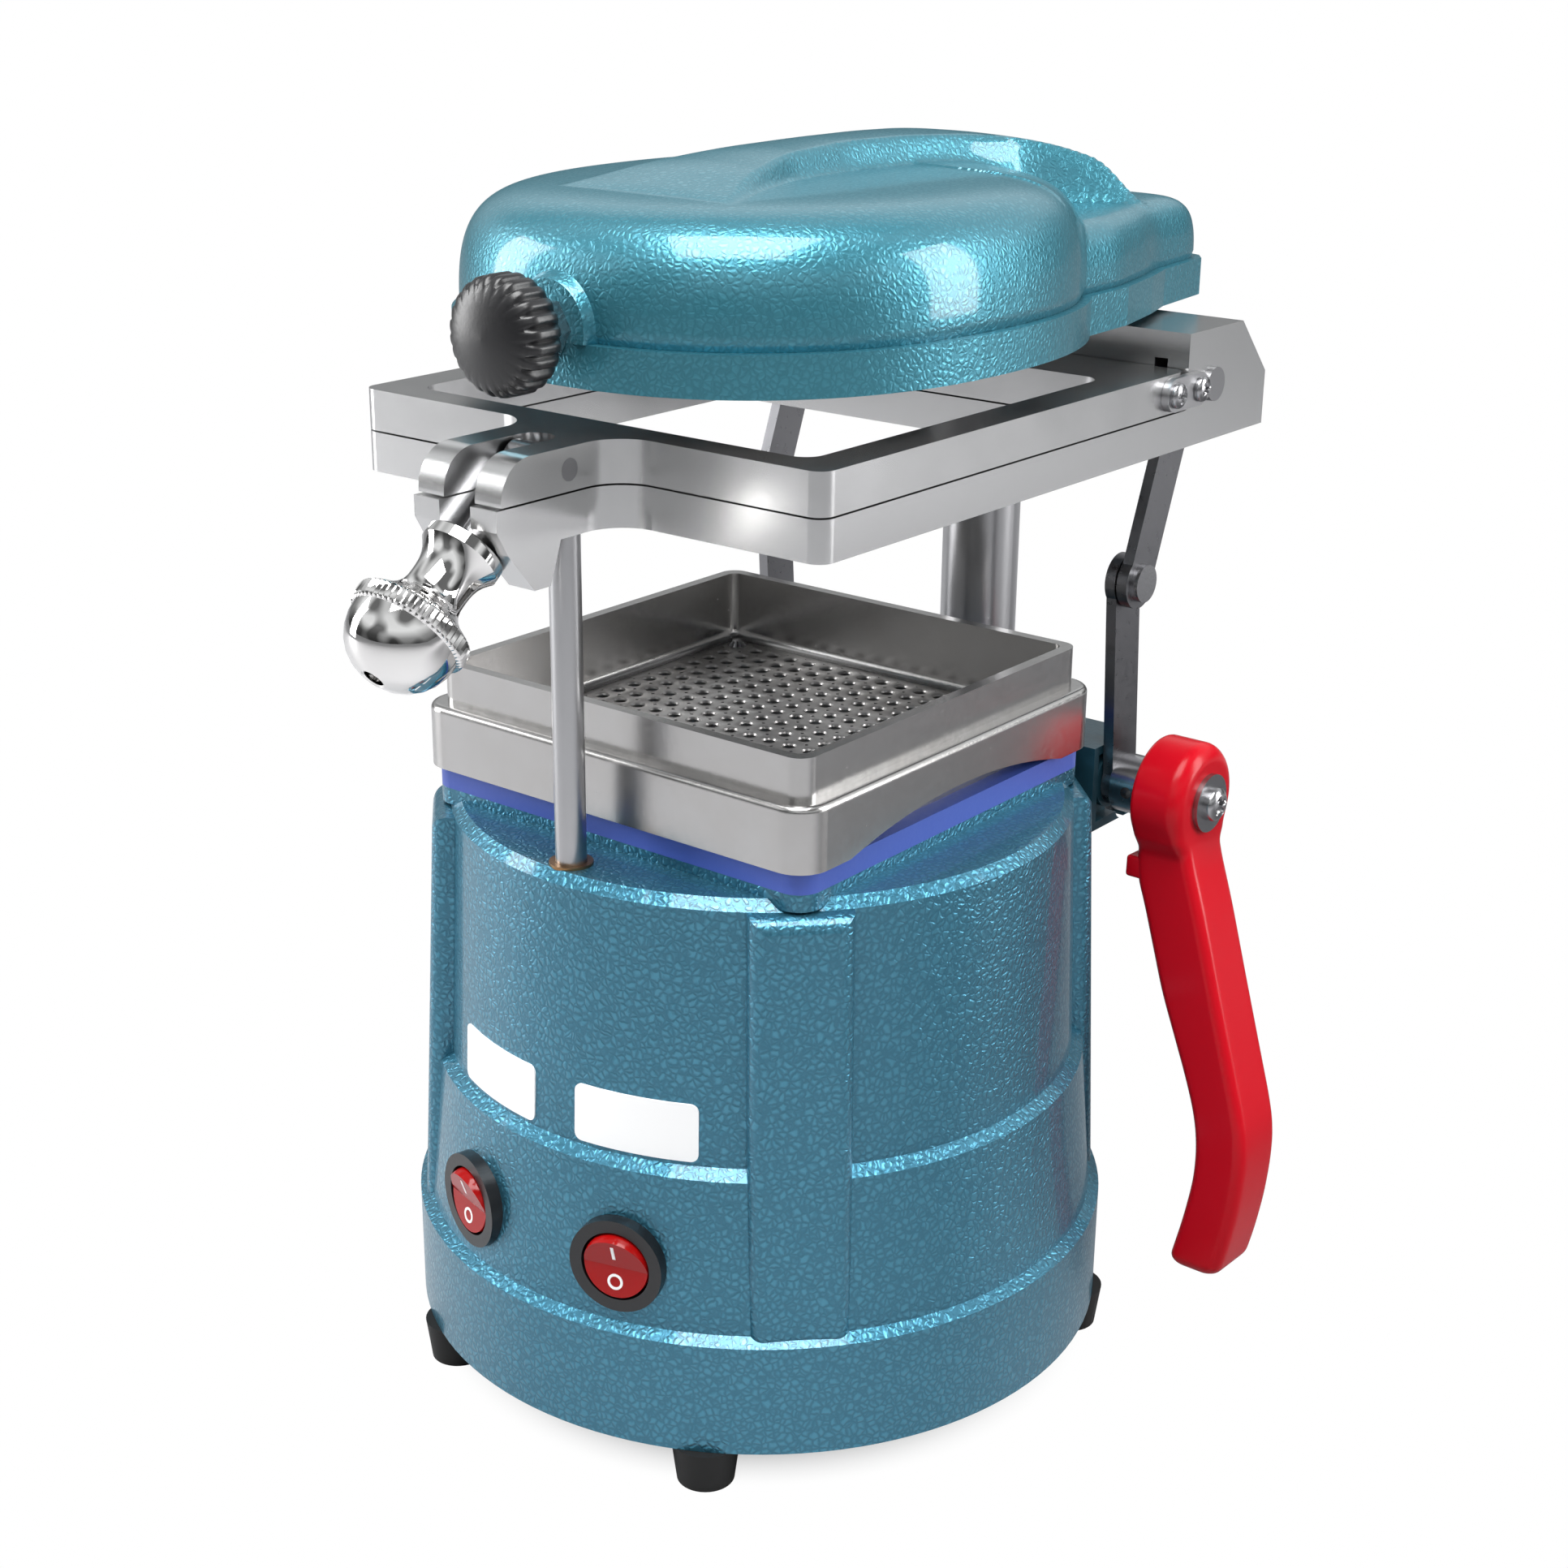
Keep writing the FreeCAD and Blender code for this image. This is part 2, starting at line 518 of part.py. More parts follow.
ledge = block("ledge", ("-ledge_half", "ledge_half"), ("drum_top_radius - boss_radius / 2", "column_y"),
              ("ledge_bottom", "drum_top"))
boss = rod("boss", "boss_radius", "drum_top - boss_bottom", "0", "column_y", "boss_bottom")
boss_web = block("boss_web", ("-boss_radius / 2", "boss_radius / 2"),
                 ("waist_radius - drum_wall / 2", "column_y"), ("boss_bottom", "ledge_bottom + drum_wall"))
FOOT_TURNS = (-60, -120, 30, 150)


def around(maker, radius, turns):
    """Make one piece at each azimuth on a circle."""
    return [maker(number, f"{radius} * cos({turn} * 1 deg)", f"{radius} * sin({turn} * 1 deg)")
            for number, turn in enumerate(turns)]


lugs = around(lambda n, x, y: rod(f"foot_lug_{n}", "lug_radius", "foot_screw_long", x, y, "foot_height"),
              "foot_circle", FOOT_TURNS)
lug_bores = around(lambda n, x, y: rod(f"foot_lug_bore_{n}", "foot_screw_radius + slide_gap",
                                       "foot_screw_long - foot_screw_sink", x, y, "foot_height - over_cut"),
                   "foot_circle", FOOT_TURNS)
inlet_face = "skirt_radius + slide_gap"
inlet_pad = block("inlet_pad", ("-inlet_wide / 2 - inlet_flange", "inlet_wide / 2 + inlet_flange"),
                  ("step_radius - inlet_flange / 2", inlet_face),
                  ("inlet_height - inlet_tall / 2 - drum_wall", "inlet_height + inlet_tall / 2 + drum_wall"))
inlet_hole = block("inlet_hole", ("-inlet_wide / 2 - seat_gap", "inlet_wide / 2 + seat_gap"),
                   ("skirt_radius - inlet_deep - over_cut", "skirt_radius + over_cut"),
                   ("inlet_height - inlet_tall / 2 - seat_gap", "inlet_height + inlet_tall / 2 + seat_gap"))
column_seat = rod("column_seat", "column_radius + slide_gap", "drum_top - boss_bottom", "0", "column_y",
                  "boss_bottom + boss_floor")
rod_hole = rod("rod_hole", "bush_radius + slide_gap", "bush_long + over_cut", "0", "-rod_y",
               "drum_top - bush_long")
suction_hole = rod("suction_hole", "suction_radius", "drum_wall * 3", "0", "0", "drum_top - drum_wall * 2")
shaft_hole = rod("shaft_hole", "shaft_radius + swing_gap", "(ledge_half + over_cut) * 2",
                 "-ledge_half - over_cut", "shaft_y", "shaft_z", "X")
seats = []
for side, sign in (("right", "1"), ("left", "-1")):
    near, far = f"{sign} * ledge_half", f"{sign} * (bracket_outer + seat_gap)"
    spans = (near, far) if sign == "1" else (far, near)
    seats.append(block(f"bracket_seat_{side}", spans, ("bracket_front - seat_gap", "bracket_back + over_cut"),
                       ("bracket_bottom - seat_gap", "bracket_top")))
    for number, height in enumerate(("bracket_bottom + bracket_screw_head", "bracket_top - bracket_screw_head")):
        seats.append(rod(f"bracket_tap_{side}_{number}", "bracket_screw_radius + slide_gap",
                         "bracket_screw_grip + over_cut", f"{sign} * (ledge_half - bracket_screw_grip)",
                         "bracket_back - bracket_screw_head * 1.5", height, "X" if sign == "1" else "-X"))

# Rocker switches: built facing -Y at the origin, then turned to their azimuth on the drum
switch_face = ("(step_radius - (step_radius - waist_radius) * (switch_height - step_top)"
               " / (waist_top - step_top))")
switch_holes = []
switches = {}
for side, sign in (("right", 1), ("left", -1)):
    rim = rod(f"switch_rim_{side}", "bezel_radius", "bezel_out * 2", y="bezel_out", along="-Y")
    barrel = rod(f"switch_barrel_{side}", "barrel_radius", "barrel_deep + bezel_out",
                 y="barrel_deep", along="-Y")
    well = rod(f"switch_well_{side}", "rocker_radius + swing_gap", "rocker_deep + bezel_out + over_cut",
               y="rocker_deep", along="-Y")
    bezel = cut(f"switch_bezel_{side}", fuse(f"switch_case_{side}", rim, barrel), well)
    ball = bind(doc.addObject("Part::Sphere", f"rocker_ball_{side}"), Radius="rocker_radius")
    ball.Placement = Placement(Vector(), Rotation(Vector(0, 1, 0), 90))
    face = prism(f"rocker_face_{side}", "YZ_Plane", [
        ("rocker_deep / 2", "-rocker_radius"), ("rocker_deep / 2", "rocker_radius"),
        ("-rocker_out", "rocker_radius"), ("-rocker_out / 2", "0"), ("-rocker_out", "-rocker_radius"),
    ], "rocker_radius * 2.2")
    rocker = common(f"rocker_{side}", ball, face)
    for obj, tilt in ((bezel, 0), (rocker, value("rocker_tilt"))):
        obj.Placement = Placement(Vector(), Rotation(Vector(0, 0, 1), sign * value("switch_turn")).multiply(
            Rotation(Vector(1, 0, 0), tilt)))
        put(obj, f"{switch_face} * sin({sign} * switch_turn * 1 deg)",
            f"-{switch_face} * cos(switch_turn * 1 deg)", "switch_height")
    hole = fuse(f"switch_hole_{side}",
                rod(f"switch_hole_rim_{side}", "bezel_radius + slide_gap", "bezel_out + skirt_radius / 9",
                    y="bezel_out", along="-Y"),
                rod(f"switch_hole_barrel_{side}", "barrel_radius + slide_gap", "barrel_deep",
                    y="barrel_deep / 2", along="-Y"))
    hole.Placement = bezel.Placement
    put(hole, f"{switch_face} * sin({sign} * switch_turn * 1 deg)",
        f"-{switch_face} * cos(switch_turn * 1 deg)", "switch_height")
    switch_holes.append(hole)
    switches[side] = (bezel, rocker)

base_housing = cut("base_housing", fuse("drum_body", shell, *ribs, platform, ledge, boss, boss_web, inlet_pad, *lugs),
                   column_seat, rod_hole, suction_hole, shaft_hole, inlet_hole, *lug_bores, *seats,
                   *switch_holes)

# Bottom cover with a ring of vents, notched round the feet's lugs
cover = rod("cover_disc", "skirt_radius - drum_wall - seat_gap", "cover_thick", z="foot_height + cover_inset")
notches = around(lambda n, x, y: rod(f"cover_notch_{n}", "lug_radius + seat_gap", "cover_thick + over_cut * 2",
                                     x, y, "foot_height + cover_inset - over_cut"),
                 "foot_circle", FOOT_TURNS)
vent_turns = [360 / value("vent_count") * n for n in range(int(value("vent_count")))]
vents = around(lambda n, x, y: rod(f"cover_vent_{n}", "vent_radius", "cover_thick + over_cut * 2",
                                   x, y, "foot_height + cover_inset - over_cut"), "vent_circle", vent_turns)
base_plate = cut("base_plate", cover, *notches, *vents)

# Tapered rubber feet and the screws that hold them
foot_solids = around(lambda n, x, y: cut(
    f"foot_{n}",
    cone(f"foot_cone_{n}", "foot_end_radius", "foot_top_radius", "foot_height", x, y),
    rod(f"foot_bore_{n}", "foot_screw_radius + slide_gap", "foot_height + over_cut", x, y),
    rod(f"foot_well_{n}", "foot_screw_head + slide_gap", "foot_screw_sink + over_cut", x, y, "-over_cut")),
    "foot_circle", FOOT_TURNS)
feet = group("feet", *foot_solids)
foot_screws = group("foot_screws", *around(lambda n, x, y: fuse(
    f"foot_screw_{n}",
    rod(f"foot_screw_pin_{n}", "foot_screw_radius", "foot_screw_long - foot_screw_sink * 1.5", x, y,
        "foot_screw_sink - foot_screw_head / 4"),
    rod(f"foot_screw_cap_{n}", "foot_screw_head", "foot_screw_head / 2", x, y,
        "foot_screw_sink - foot_screw_head / 2")),
    "foot_circle", FOOT_TURNS))

# Vacuum motor hung under the drum's top on a gasket ring
motor_top = "(drum_top - drum_wall - gasket_thick)"
vacuum_motor = turned("vacuum_motor", [
    ("0", f"{motor_top} - fan_tall - motor_tall"),
    ("motor_radius / 2", f"{motor_top} - fan_tall - motor_tall"),
    ("motor_radius / 2", f"{motor_top} - fan_tall - motor_tall * 0.8"),
    ("motor_radius", f"{motor_top} - fan_tall - motor_tall * 0.75"),
    ("motor_radius", f"{motor_top} - fan_tall"),
    ("fan_radius", f"{motor_top} - fan_tall"),
    ("fan_radius", motor_top),
    ("suction_radius", motor_top),
    ("suction_radius", f"{motor_top} - fan_tall / 2"),
    ("0", f"{motor_top} - fan_tall / 2"),
])
motor_gasket = cut("motor_gasket", rod("gasket_disc", "gasket_outer", "gasket_thick", z=motor_top),
                   rod("gasket_hole", "gasket_inner", "gasket_thick + over_cut * 2", z=f"{motor_top} - over_cut"))

# Power inlet at the back of the skirt
inlet_body = block("inlet_body", ("-inlet_wide / 2", "inlet_wide / 2"),
                   ("skirt_radius - inlet_deep", f"{inlet_face} + inlet_flange_thick / 2"),
                   ("inlet_height - inlet_tall / 2", "inlet_height + inlet_tall / 2"))
inlet_lip = block("inlet_lip", ("-inlet_wide / 2 - inlet_flange * 0.9", "inlet_wide / 2 + inlet_flange * 0.9"),
                  (inlet_face, f"{inlet_face} + inlet_flange_thick"),
                  ("inlet_height - inlet_tall / 2 - cover_thick", "inlet_height + inlet_tall / 2 + cover_thick"))
inlet_socket = block("inlet_socket", ("-inlet_wide / 2 + cover_thick", "inlet_wide / 2 - cover_thick"),
                     (f"{inlet_face} - inlet_well", f"{inlet_face} + inlet_flange_thick + over_cut"),
                     ("inlet_height - inlet_tall / 2 + cover_thick", "inlet_height + inlet_tall / 2 - cover_thick"))
power_inlet = cut("power_inlet", fuse("inlet_case", inlet_body, inlet_lip), inlet_socket)

# Seal pad and forming tray
pad_opening = slab("pad_opening", "pad_inner_half", "-pad_inner_half", "pad_inner_half",
                   "platform_top - over_cut", "pad_top + over_cut", "platform_round")
seal_pad = cut("seal_pad", slab("pad_slab", "platform_half", "-platform_half", "platform_half",
                                "platform_top", "pad_top", "platform_round"), pad_opening)
flange = rounded("tray_flange", slab("tray_flange_sharp", "flange_half", "-flange_half", "flange_half", "pad_top",
                                     "flange_top", "flange_round"),
                 "flange_edge", lambda middle, along: middle.z > value("flange_top - seat_gap"))
tray_rim = slab("tray_rim", "rim_half", "-rim_half", "rim_half", "pad_top + floor_thick", "rim_top", "rim_round")
tray_hollow = rounded("tray_hollow", slab("tray_hollow_sharp", "rim_half - rim_wall", "-rim_half + rim_wall",
                                          "rim_half - rim_wall", "floor_top", "rim_top + over_cut",
                                          "cove_radius + seat_gap"),
                      "cove_radius", lambda middle, along: abs(middle.z - value("floor_top")) < value("seat_gap"))
floor_half = "(rim_half - rim_wall - cove_radius)"
tray_cavity = fuse("tray_cavity", tray_hollow, slab("floor_seat", floor_half, f"-{floor_half}", floor_half,
                                                    "floor_top - floor_thick", "rim_top", "cove_radius"))
tray_under = slab("tray_under", f"{floor_half} - floor_shelf", f"-{floor_half} + floor_shelf",
                  f"{floor_half} - floor_shelf", "pad_top - over_cut", "floor_top", "shelf_round")
arch_radius = "((arch_half^2 + arch_tall^2) / (2 * arch_tall))"
arches = [rod(f"arch_{side}", arch_radius, "arch_deep + over_cut", x, "0", f"pad_top + arch_tall - {arch_radius}", "X")
          for side, x in (("right", "flange_half - arch_deep"), ("left", "-flange_half - over_cut"))]
screw_spots = [(f"{sx} * ({floor_half} - tray_screw_inset)", f"{sy} * ({floor_half} - tray_screw_inset)")
               for sx in (-1, 1) for sy in (-1, 1)]
tray_taps = [rod(f"tray_tap_{n}", "tray_screw_radius + slide_gap", "tray_screw_long",
                 x, y, "floor_top - tray_screw_long") for n, (x, y) in enumerate(screw_spots)]
forming_tray = cut("forming_tray", fuse("tray_body", flange, tray_rim), tray_cavity, tray_under, *arches, *tray_taps)

# Perforated floor: one face with a grid of six-sided holes
half = value(f"{floor_half} - seat_gap")
pitch, bore = value("hole_pitch"), value("hole_radius")
reach = half - value("hole_margin") - bore
count = int(reach / pitch + 0.5)
grid = [(n + 0.5) * pitch for n in range(-count, count)]


def ring(x, y, radius, sides):
    """Closed wire of equal sides."""
    spots = [Vector(x + radius * math.cos(math.tau * n / sides), y + radius * math.sin(math.tau * n / sides), 0)
             for n in range(sides)]
    return Part.makePolygon(spots + spots[:1])


holes = [ring(x, y, bore, 6) for x in grid for y in grid
         if abs(x) + abs(y) < 2 * reach - value("hole_corner") and max(abs(x), abs(y)) < reach]
clip = half - value("cove_radius")
corners = [Vector(sx * x, sy * y, 0) for sx, sy, x, y in (
    (-1, -1, half, clip), (-1, -1, clip, half), (1, -1, clip, half), (1, -1, half, clip), (1, 1, half, clip),
    (1, 1, clip, half), (-1, 1, clip, half), (-1, 1, half, clip), (-1, -1, half, clip))]
screw_rings = [ring(value(x), value(y), value("tray_screw_radius + slide_gap"), 12) for x, y in screw_spots]
perforated_plate = doc.addObject("Part::Feature", "perforated_plate")
perforated_plate.Shape = Part.makeFace([Part.makePolygon(corners)] + holes + screw_rings,
                                       "Part::FaceMakerBullseye").extrude(Vector(0, 0, value("floor_thick")))
put(perforated_plate, "0", "0", "floor_top - floor_thick")
tray_screws = group("tray_screws", *[fuse(
    f"tray_screw_{n}",
    rod(f"tray_screw_pin_{n}", "tray_screw_radius", "tray_screw_long", x, y, "floor_top - tray_screw_long"),
    cone(f"tray_screw_cap_{n}", "tray_screw_head", "tray_screw_head / 2", "tray_screw_proud", x, y, "floor_top"))
    for n, (x, y) in enumerate(screw_spots)])

# Column and the guide rod's bush
rear_column = rod("rear_column", "column_radius", "column_top - boss_bottom - boss_floor", "0", "column_y",
                  "boss_bottom + boss_floor")
rod_bush = cut("rod_bush", rod("bush_outer", "bush_radius", "bush_long + bush_proud", "0", "-rod_y",
                               "drum_top - bush_long"),
               rod("bush_bore", "rod_radius + slide_gap", "bush_long + over_cut * 2", "0", "-rod_y",
                   "drum_top - bush_long - over_cut"))

# Bearing brackets for the drive shaft
recess = cut("bracket_recess_tool", block("recess_box", ("bracket_outer - bracket_recess", "bracket_outer + over_cut"),
             ("bracket_front + bracket_lip", "bracket_back + over_cut"),
             ("bracket_bottom + bracket_lip", "bracket_top - bracket_lip")),
             rod("recess_boss", "collar_out_radius", "bracket_recess", "bracket_outer - bracket_recess",
                 "shaft_y", "shaft_z", "X"))
bracket_tools = [recess,
                 rod("bracket_bore", "shaft_radius + slide_gap", "bracket_outer", "ledge_half - over_cut",
                     "shaft_y", "shaft_z", "X"),
                 rod("bracket_oil", "bracket_hole_radius", "bracket_top - shaft_z + over_cut",
                     "(ledge_half + bracket_outer) / 2", "shaft_y", "shaft_z")]
screw_solids = []
for number, height in enumerate(("bracket_bottom + bracket_screw_head", "bracket_top - bracket_screw_head")):
    spot = ("bracket_back - bracket_screw_head * 1.5", height, "X")
    bracket_tools.append(rod(f"bracket_screw_hole_{number}", "bracket_screw_radius + slide_gap", "bracket_outer",
                             "ledge_half - over_cut", *spot))
    bracket_tools.append(rod(f"bracket_screw_well_{number}", "bracket_screw_head + seat_gap", "bracket_outer",
                             "bracket_outer - bracket_recess - bracket_screw_head", *spot))
    pin = rod(f"bracket_screw_pin_{number}", "bracket_screw_radius",
              "bracket_outer - bracket_recess - bracket_screw_head - ledge_half + bracket_screw_grip",
              "ledge_half - bracket_screw_grip", *spot)
    cap = rod(f"bracket_screw_cap_{number}", "bracket_screw_head", "bracket_screw_head",
              "bracket_outer - bracket_recess - bracket_screw_head", *spot)
    screw_solids.append(fuse(f"bracket_screw_{number}", pin, cap))
bracket_right = cut("bearing_bracket_right", block("bracket_box", ("ledge_half", "bracket_outer"),
                                                   ("bracket_front", "bracket_back"),
                                                   ("bracket_bottom", "bracket_top")), *bracket_tools)
bracket_left = mirror("bearing_bracket_left", bracket_right)
screws_right = group("bracket_screws_right", *screw_solids)
bracket_screws = group("bracket_screws", screws_right, mirror("bracket_screws_left", screws_right))


# Lower frame: plate, rear block on the column and the lug of the clamp, in one casting
bolt_y, bolt_z = "cos(bolt_dip * 1 deg)", "sin(bolt_dip * 1 deg)"
lower_slab = slab("lower_slab", "frame_half", "-frame_front", "block_front + frame_corner * 2",
                  "lower_bottom", "lower_top", "frame_corner")
rear_block = prism("rear_block", "YZ_Plane", [
    ("block_front", "lower_bottom"), ("block_back", "lower_bottom"), ("block_back", "block_step"),
    ("block_back_top", "block_top"), ("block_front", "block_top"),
], "frame_half * 2")
lower_lug = prism("lower_lug", "YZ_Plane", [
    ("-frame_front + over_cut", "lower_bottom"), ("-frame_front + over_cut", "lower_top"),
    ("-lower_lug_front", "lower_top"), ("-lower_lug_front", "(lower_top + lower_bottom) / 2 + seat_gap"),
    (f"-clamp_pin_y - (knob_seat - slide_gap * 4) * {bolt_y}",
     f"clamp_pin_z - (knob_seat - slide_gap * 4) * {bolt_z}"),
    ("-clamp_tip_front", "clamp_tip"), ("-clamp_tip_back", "clamp_tip"), ("-clamp_foot_back", "lower_bottom"),
], "clamp_half * 2")
window = ("window_half", "-window_half", "window_half")


def flared(name, base):
    """Round the inner corners where a lug leaves the front edge of its frame."""
    return rounded(name, base, "clamp_flare", lambda middle, along: (
        abs(along.z) > 0.9 and abs(abs(middle.x) - value("clamp_half")) < value("seat_gap")
        and abs(middle.y + value("frame_front")) < value("seat_gap")))


def clamp_slot(name, bottom, top, root_y):
    """Open slot for the swing bolt with a round root."""
    straight = block(f"{name}_straight", ("-clamp_slot / 2", "clamp_slot / 2"),
                     ("-lower_lug_front - over_cut", f"-{root_y} - clamp_slot / 2"), (bottom, top))
    root = rod(f"{name}_root", "clamp_slot / 2", f"({top}) - ({bottom})", "0",
               f"-{root_y} - clamp_slot / 2", bottom)
    return fuse(name, straight, root)


link_slots = [block(f"link_slot_{side}", (f"{start} - swing_gap", f"{start} + bar_thick + swing_gap"),
                    ("link_slot_front", "link_slot_back"),
                    ("lower_bottom - over_cut", "link_pin_z + bar_eye + swing_gap"))
              for side, start in (("right", "link_inner"), ("left", "-link_inner - bar_thick"))]
lower_frame = cut(
    "lower_frame", flared("lower_flared", fuse("lower_body", lower_slab, rear_block, lower_lug)),
    slab("lower_window", *window, "lower_bottom - over_cut", "lower_top + over_cut", "window_round"),
    clamp_slot("lower_slot", "clamp_tip - over_cut", "lower_top + over_cut", "lower_root"),
    rod("rod_socket", "rod_radius + slide_gap", "rod_grip + over_cut", "0", "-rod_y", "lower_bottom - over_cut"),
    rod("column_bore", "column_radius + swing_gap", "block_top", "0", "column_y", "lower_bottom - over_cut"),
    rod("bush_seat_low", "collar_radius + slide_gap", "collar_long + over_cut", "0", "column_y",
        "lower_bottom - over_cut"),
    rod("bush_seat_high", "collar_radius + slide_gap", "collar_long + over_cut", "0", "column_y",
        "block_top - collar_long"),
    rod("link_pin_bore", "link_pin_radius + slide_gap", "frame_half * 2 + over_cut * 2", "-frame_half - over_cut",
        "link_pin_y", "link_pin_z", "X"),
    *link_slots,
    *[rod(f"pivot_tap_{side}", "strap_screw_radius + slide_gap", "strap_screw_long + over_cut", x, "hinge_y",
          "hinge_z", "X") for side, x in (("right", "frame_half - strap_screw_long"),
                                          ("left", "-frame_half - over_cut"))])
column_bushes = group("column_bushes", *[cut(
    f"column_bush_{n}", rod(f"bush_ring_{n}", "collar_radius", "collar_long", "0", "column_y", z),
    rod(f"bush_hole_{n}", "column_radius + slide_gap", "collar_long + over_cut * 2", "0", "column_y",
        f"{z} - over_cut")) for n, z in enumerate(("lower_bottom", "block_top - collar_long"))])
guide_rod = rod("guide_rod", "rod_radius", "lower_bottom + rod_grip - rod_end", "0", "-rod_y", "rod_end")

# Upper frame: plate with a round-nosed lug, on straps at the back
upper_bottom, upper_top = "(lower_top + sheet_gap)", "(lower_top + sheet_gap + upper_thick)"
upper_slab = slab("upper_slab", "frame_half", "-frame_front", "upper_back", upper_bottom, upper_top, "frame_corner")
upper_lug = rounded("upper_lug", block("upper_lug_block", ("-clamp_half", "clamp_half"),
                                       ("-upper_lug_front", "-frame_front + over_cut"), (upper_bottom, upper_top)),
                    "upper_thick - edge_chamfer",
                    lambda middle, along: abs(along.x) > 0.9 and middle.y < -value("frame_front + over_cut")
                    and middle.z > value(upper_bottom) + value("edge_chamfer"))
upper_frame = cut(
    "upper_frame", flared("upper_flared", fuse("upper_body", upper_slab, upper_lug)),
    slab("upper_window", *window, f"{upper_bottom} - over_cut", f"{upper_top} + over_cut", "window_round"),
    clamp_slot("upper_slot", f"{upper_bottom} - over_cut", f"{upper_top} + over_cut", "upper_root"),
    rod("clamp_pin_bore", "clamp_pin_radius + slide_gap", "clamp_half * 2 + over_cut * 2",
        "-clamp_half - over_cut", "-clamp_pin_y", "clamp_pin_z", "X"),
    *[rod(f"strap_tap_{side}", "strap_screw_radius + slide_gap", "strap_screw_long + over_cut", x,
          "strap_screw_y", "hinge_z", "X") for side, x in (("right", "frame_half - strap_screw_long"),
                                                           ("left", "-frame_half - over_cut"))])
clamp_pins = group("clamp_pins", *[rod(f"clamp_pin_{n}", "clamp_pin_radius", "clamp_half - clamp_slot / 2", x,
                                       "-clamp_pin_y", "clamp_pin_z", "X")
                                   for n, x in enumerate(("clamp_slot / 2", "-clamp_half"))])
strap_inner = "(frame_half + slide_gap)"


def side_screw(name, y, proud_from, grip):
    """Pan-head screw driven into the right side."""
    pin = rod(f"{name}_pin", "strap_screw_radius", f"{proud_from} - frame_half + {grip}",
              f"frame_half - {grip}", y, "hinge_z", "X")
    head = rod(f"{name}_head", "screw_head_radius", "screw_head_proud", proud_from, y, "hinge_z", "X")
    return fuse(name, pin, head)


strap = cut("strap_right", fuse(
    "strap_body",
    block("strap_middle", (strap_inner, f"{strap_inner} + strap_thick"), ("strap_screw_y", "hinge_y"),
          ("hinge_z - strap_tall / 2", "hinge_z + strap_tall / 2")),
    rod("strap_end_front", "strap_tall / 2", "strap_thick", strap_inner, "strap_screw_y", "hinge_z", "X"),
    rod("strap_end_back", "strap_tall / 2", "strap_thick", strap_inner, "hinge_y", "hinge_z", "X")),
    rod("strap_hole_front", "strap_screw_radius + slide_gap", "strap_thick + over_cut * 2", "frame_half - over_cut",
        "strap_screw_y", "hinge_z", "X"),
    rod("strap_hole_back", "strap_screw_radius + slide_gap", "strap_thick + over_cut * 2", "frame_half - over_cut",
        "hinge_y", "hinge_z", "X"))
hinge_straps = group("hinge_straps", strap, mirror("strap_left", strap))
strap_screw = side_screw("strap_screw", "strap_screw_y", f"({strap_inner} + strap_thick)", "strap_screw_long")
strap_screws = group("strap_screws", strap_screw, mirror("strap_screw_left", strap_screw))
pivot_screw = side_screw("pivot_screw", "hinge_y", f"({strap_inner} + strap_thick + slide_gap)", "strap_screw_long")
pivot_screws = group("pivot_screws", pivot_screw, mirror("pivot_screw_left", pivot_screw))

# Swing bolt and its turned knob, along the bolt's axis
eye = cut("bolt_eye_ring", rod("bolt_eye_disc", "bolt_eye", "bolt_wide", "-bolt_wide / 2", "0", "0", "X"),
          rod("bolt_eye_bore", "clamp_pin_radius + slide_gap", "bolt_wide + over_cut * 2",
              "-bolt_wide / 2 - over_cut", "0", "0", "X"))
shank = rod("bolt_shank", "bolt_radius", "bolt_end - (bolt_eye + clamp_pin_radius) / 2", "0",
            "-(bolt_eye + clamp_pin_radius) / 2", "0", "-Y")
swing_bolt = fuse("swing_bolt", eye, shank)
swing_bolt.Placement = Placement(Vector(), Rotation(Vector(1, 0, 0), value("bolt_dip")))
put(swing_bolt, "0", "-clamp_pin_y", "clamp_pin_z")

waist_shares = [(0.0, 1.0), (0.1, 0.55), (0.3, 0.12), (0.55, 0.0), (0.8, 0.3), (0.93, 0.7), (1.0, 0.9)]
dome_shares = [(1.0, 0.0), (0.97, 0.26), (0.88, 0.5), (0.72, 0.72), (0.5, 0.88), (0.3, 0.97)]
knob_points = [("bolt_radius + slide_gap", "knob_seat"), ("knob_collar_radius", "knob_seat"),
               ("knob_collar_radius", "knob_seat + knob_collar_thick")]
knob_points += [(f"knob_waist_radius + (knob_collar_radius - knob_waist_radius) * {wide * 0.8}",
                 "knob_seat + knob_collar_thick + (knob_ring_start - knob_seat - knob_collar_thick)"
                 f" * {along}") for along, wide in waist_shares]
knob_points += [("knob_ring_radius", "knob_ring_start"), ("knob_ring_radius", "knob_ring_end")]
knob_points += [(f"knob_dome_radius * {wide}", f"knob_ring_end + (knob_end - knob_ring_end) * {along}")
                for wide, along in dome_shares]
knob_points += [("knob_hole_radius", "knob_end"), ("knob_hole_radius", "knob_end - knob_hole_deep"),
                ("0", "knob_end - knob_hole_deep"), ("0", "bolt_end + swing_gap"),
                ("bolt_radius + slide_gap", "bolt_end + swing_gap")]
clamp_knob = turned("clamp_knob", knob_points)
dip = math.radians(value("bolt_dip"))
clamp_knob.Placement = Placement(Vector(), Rotation(Vector(0, 0, 1), Vector(0, -math.cos(dip), -math.sin(dip))))
put(clamp_knob, "0", "-clamp_pin_y", "clamp_pin_z")

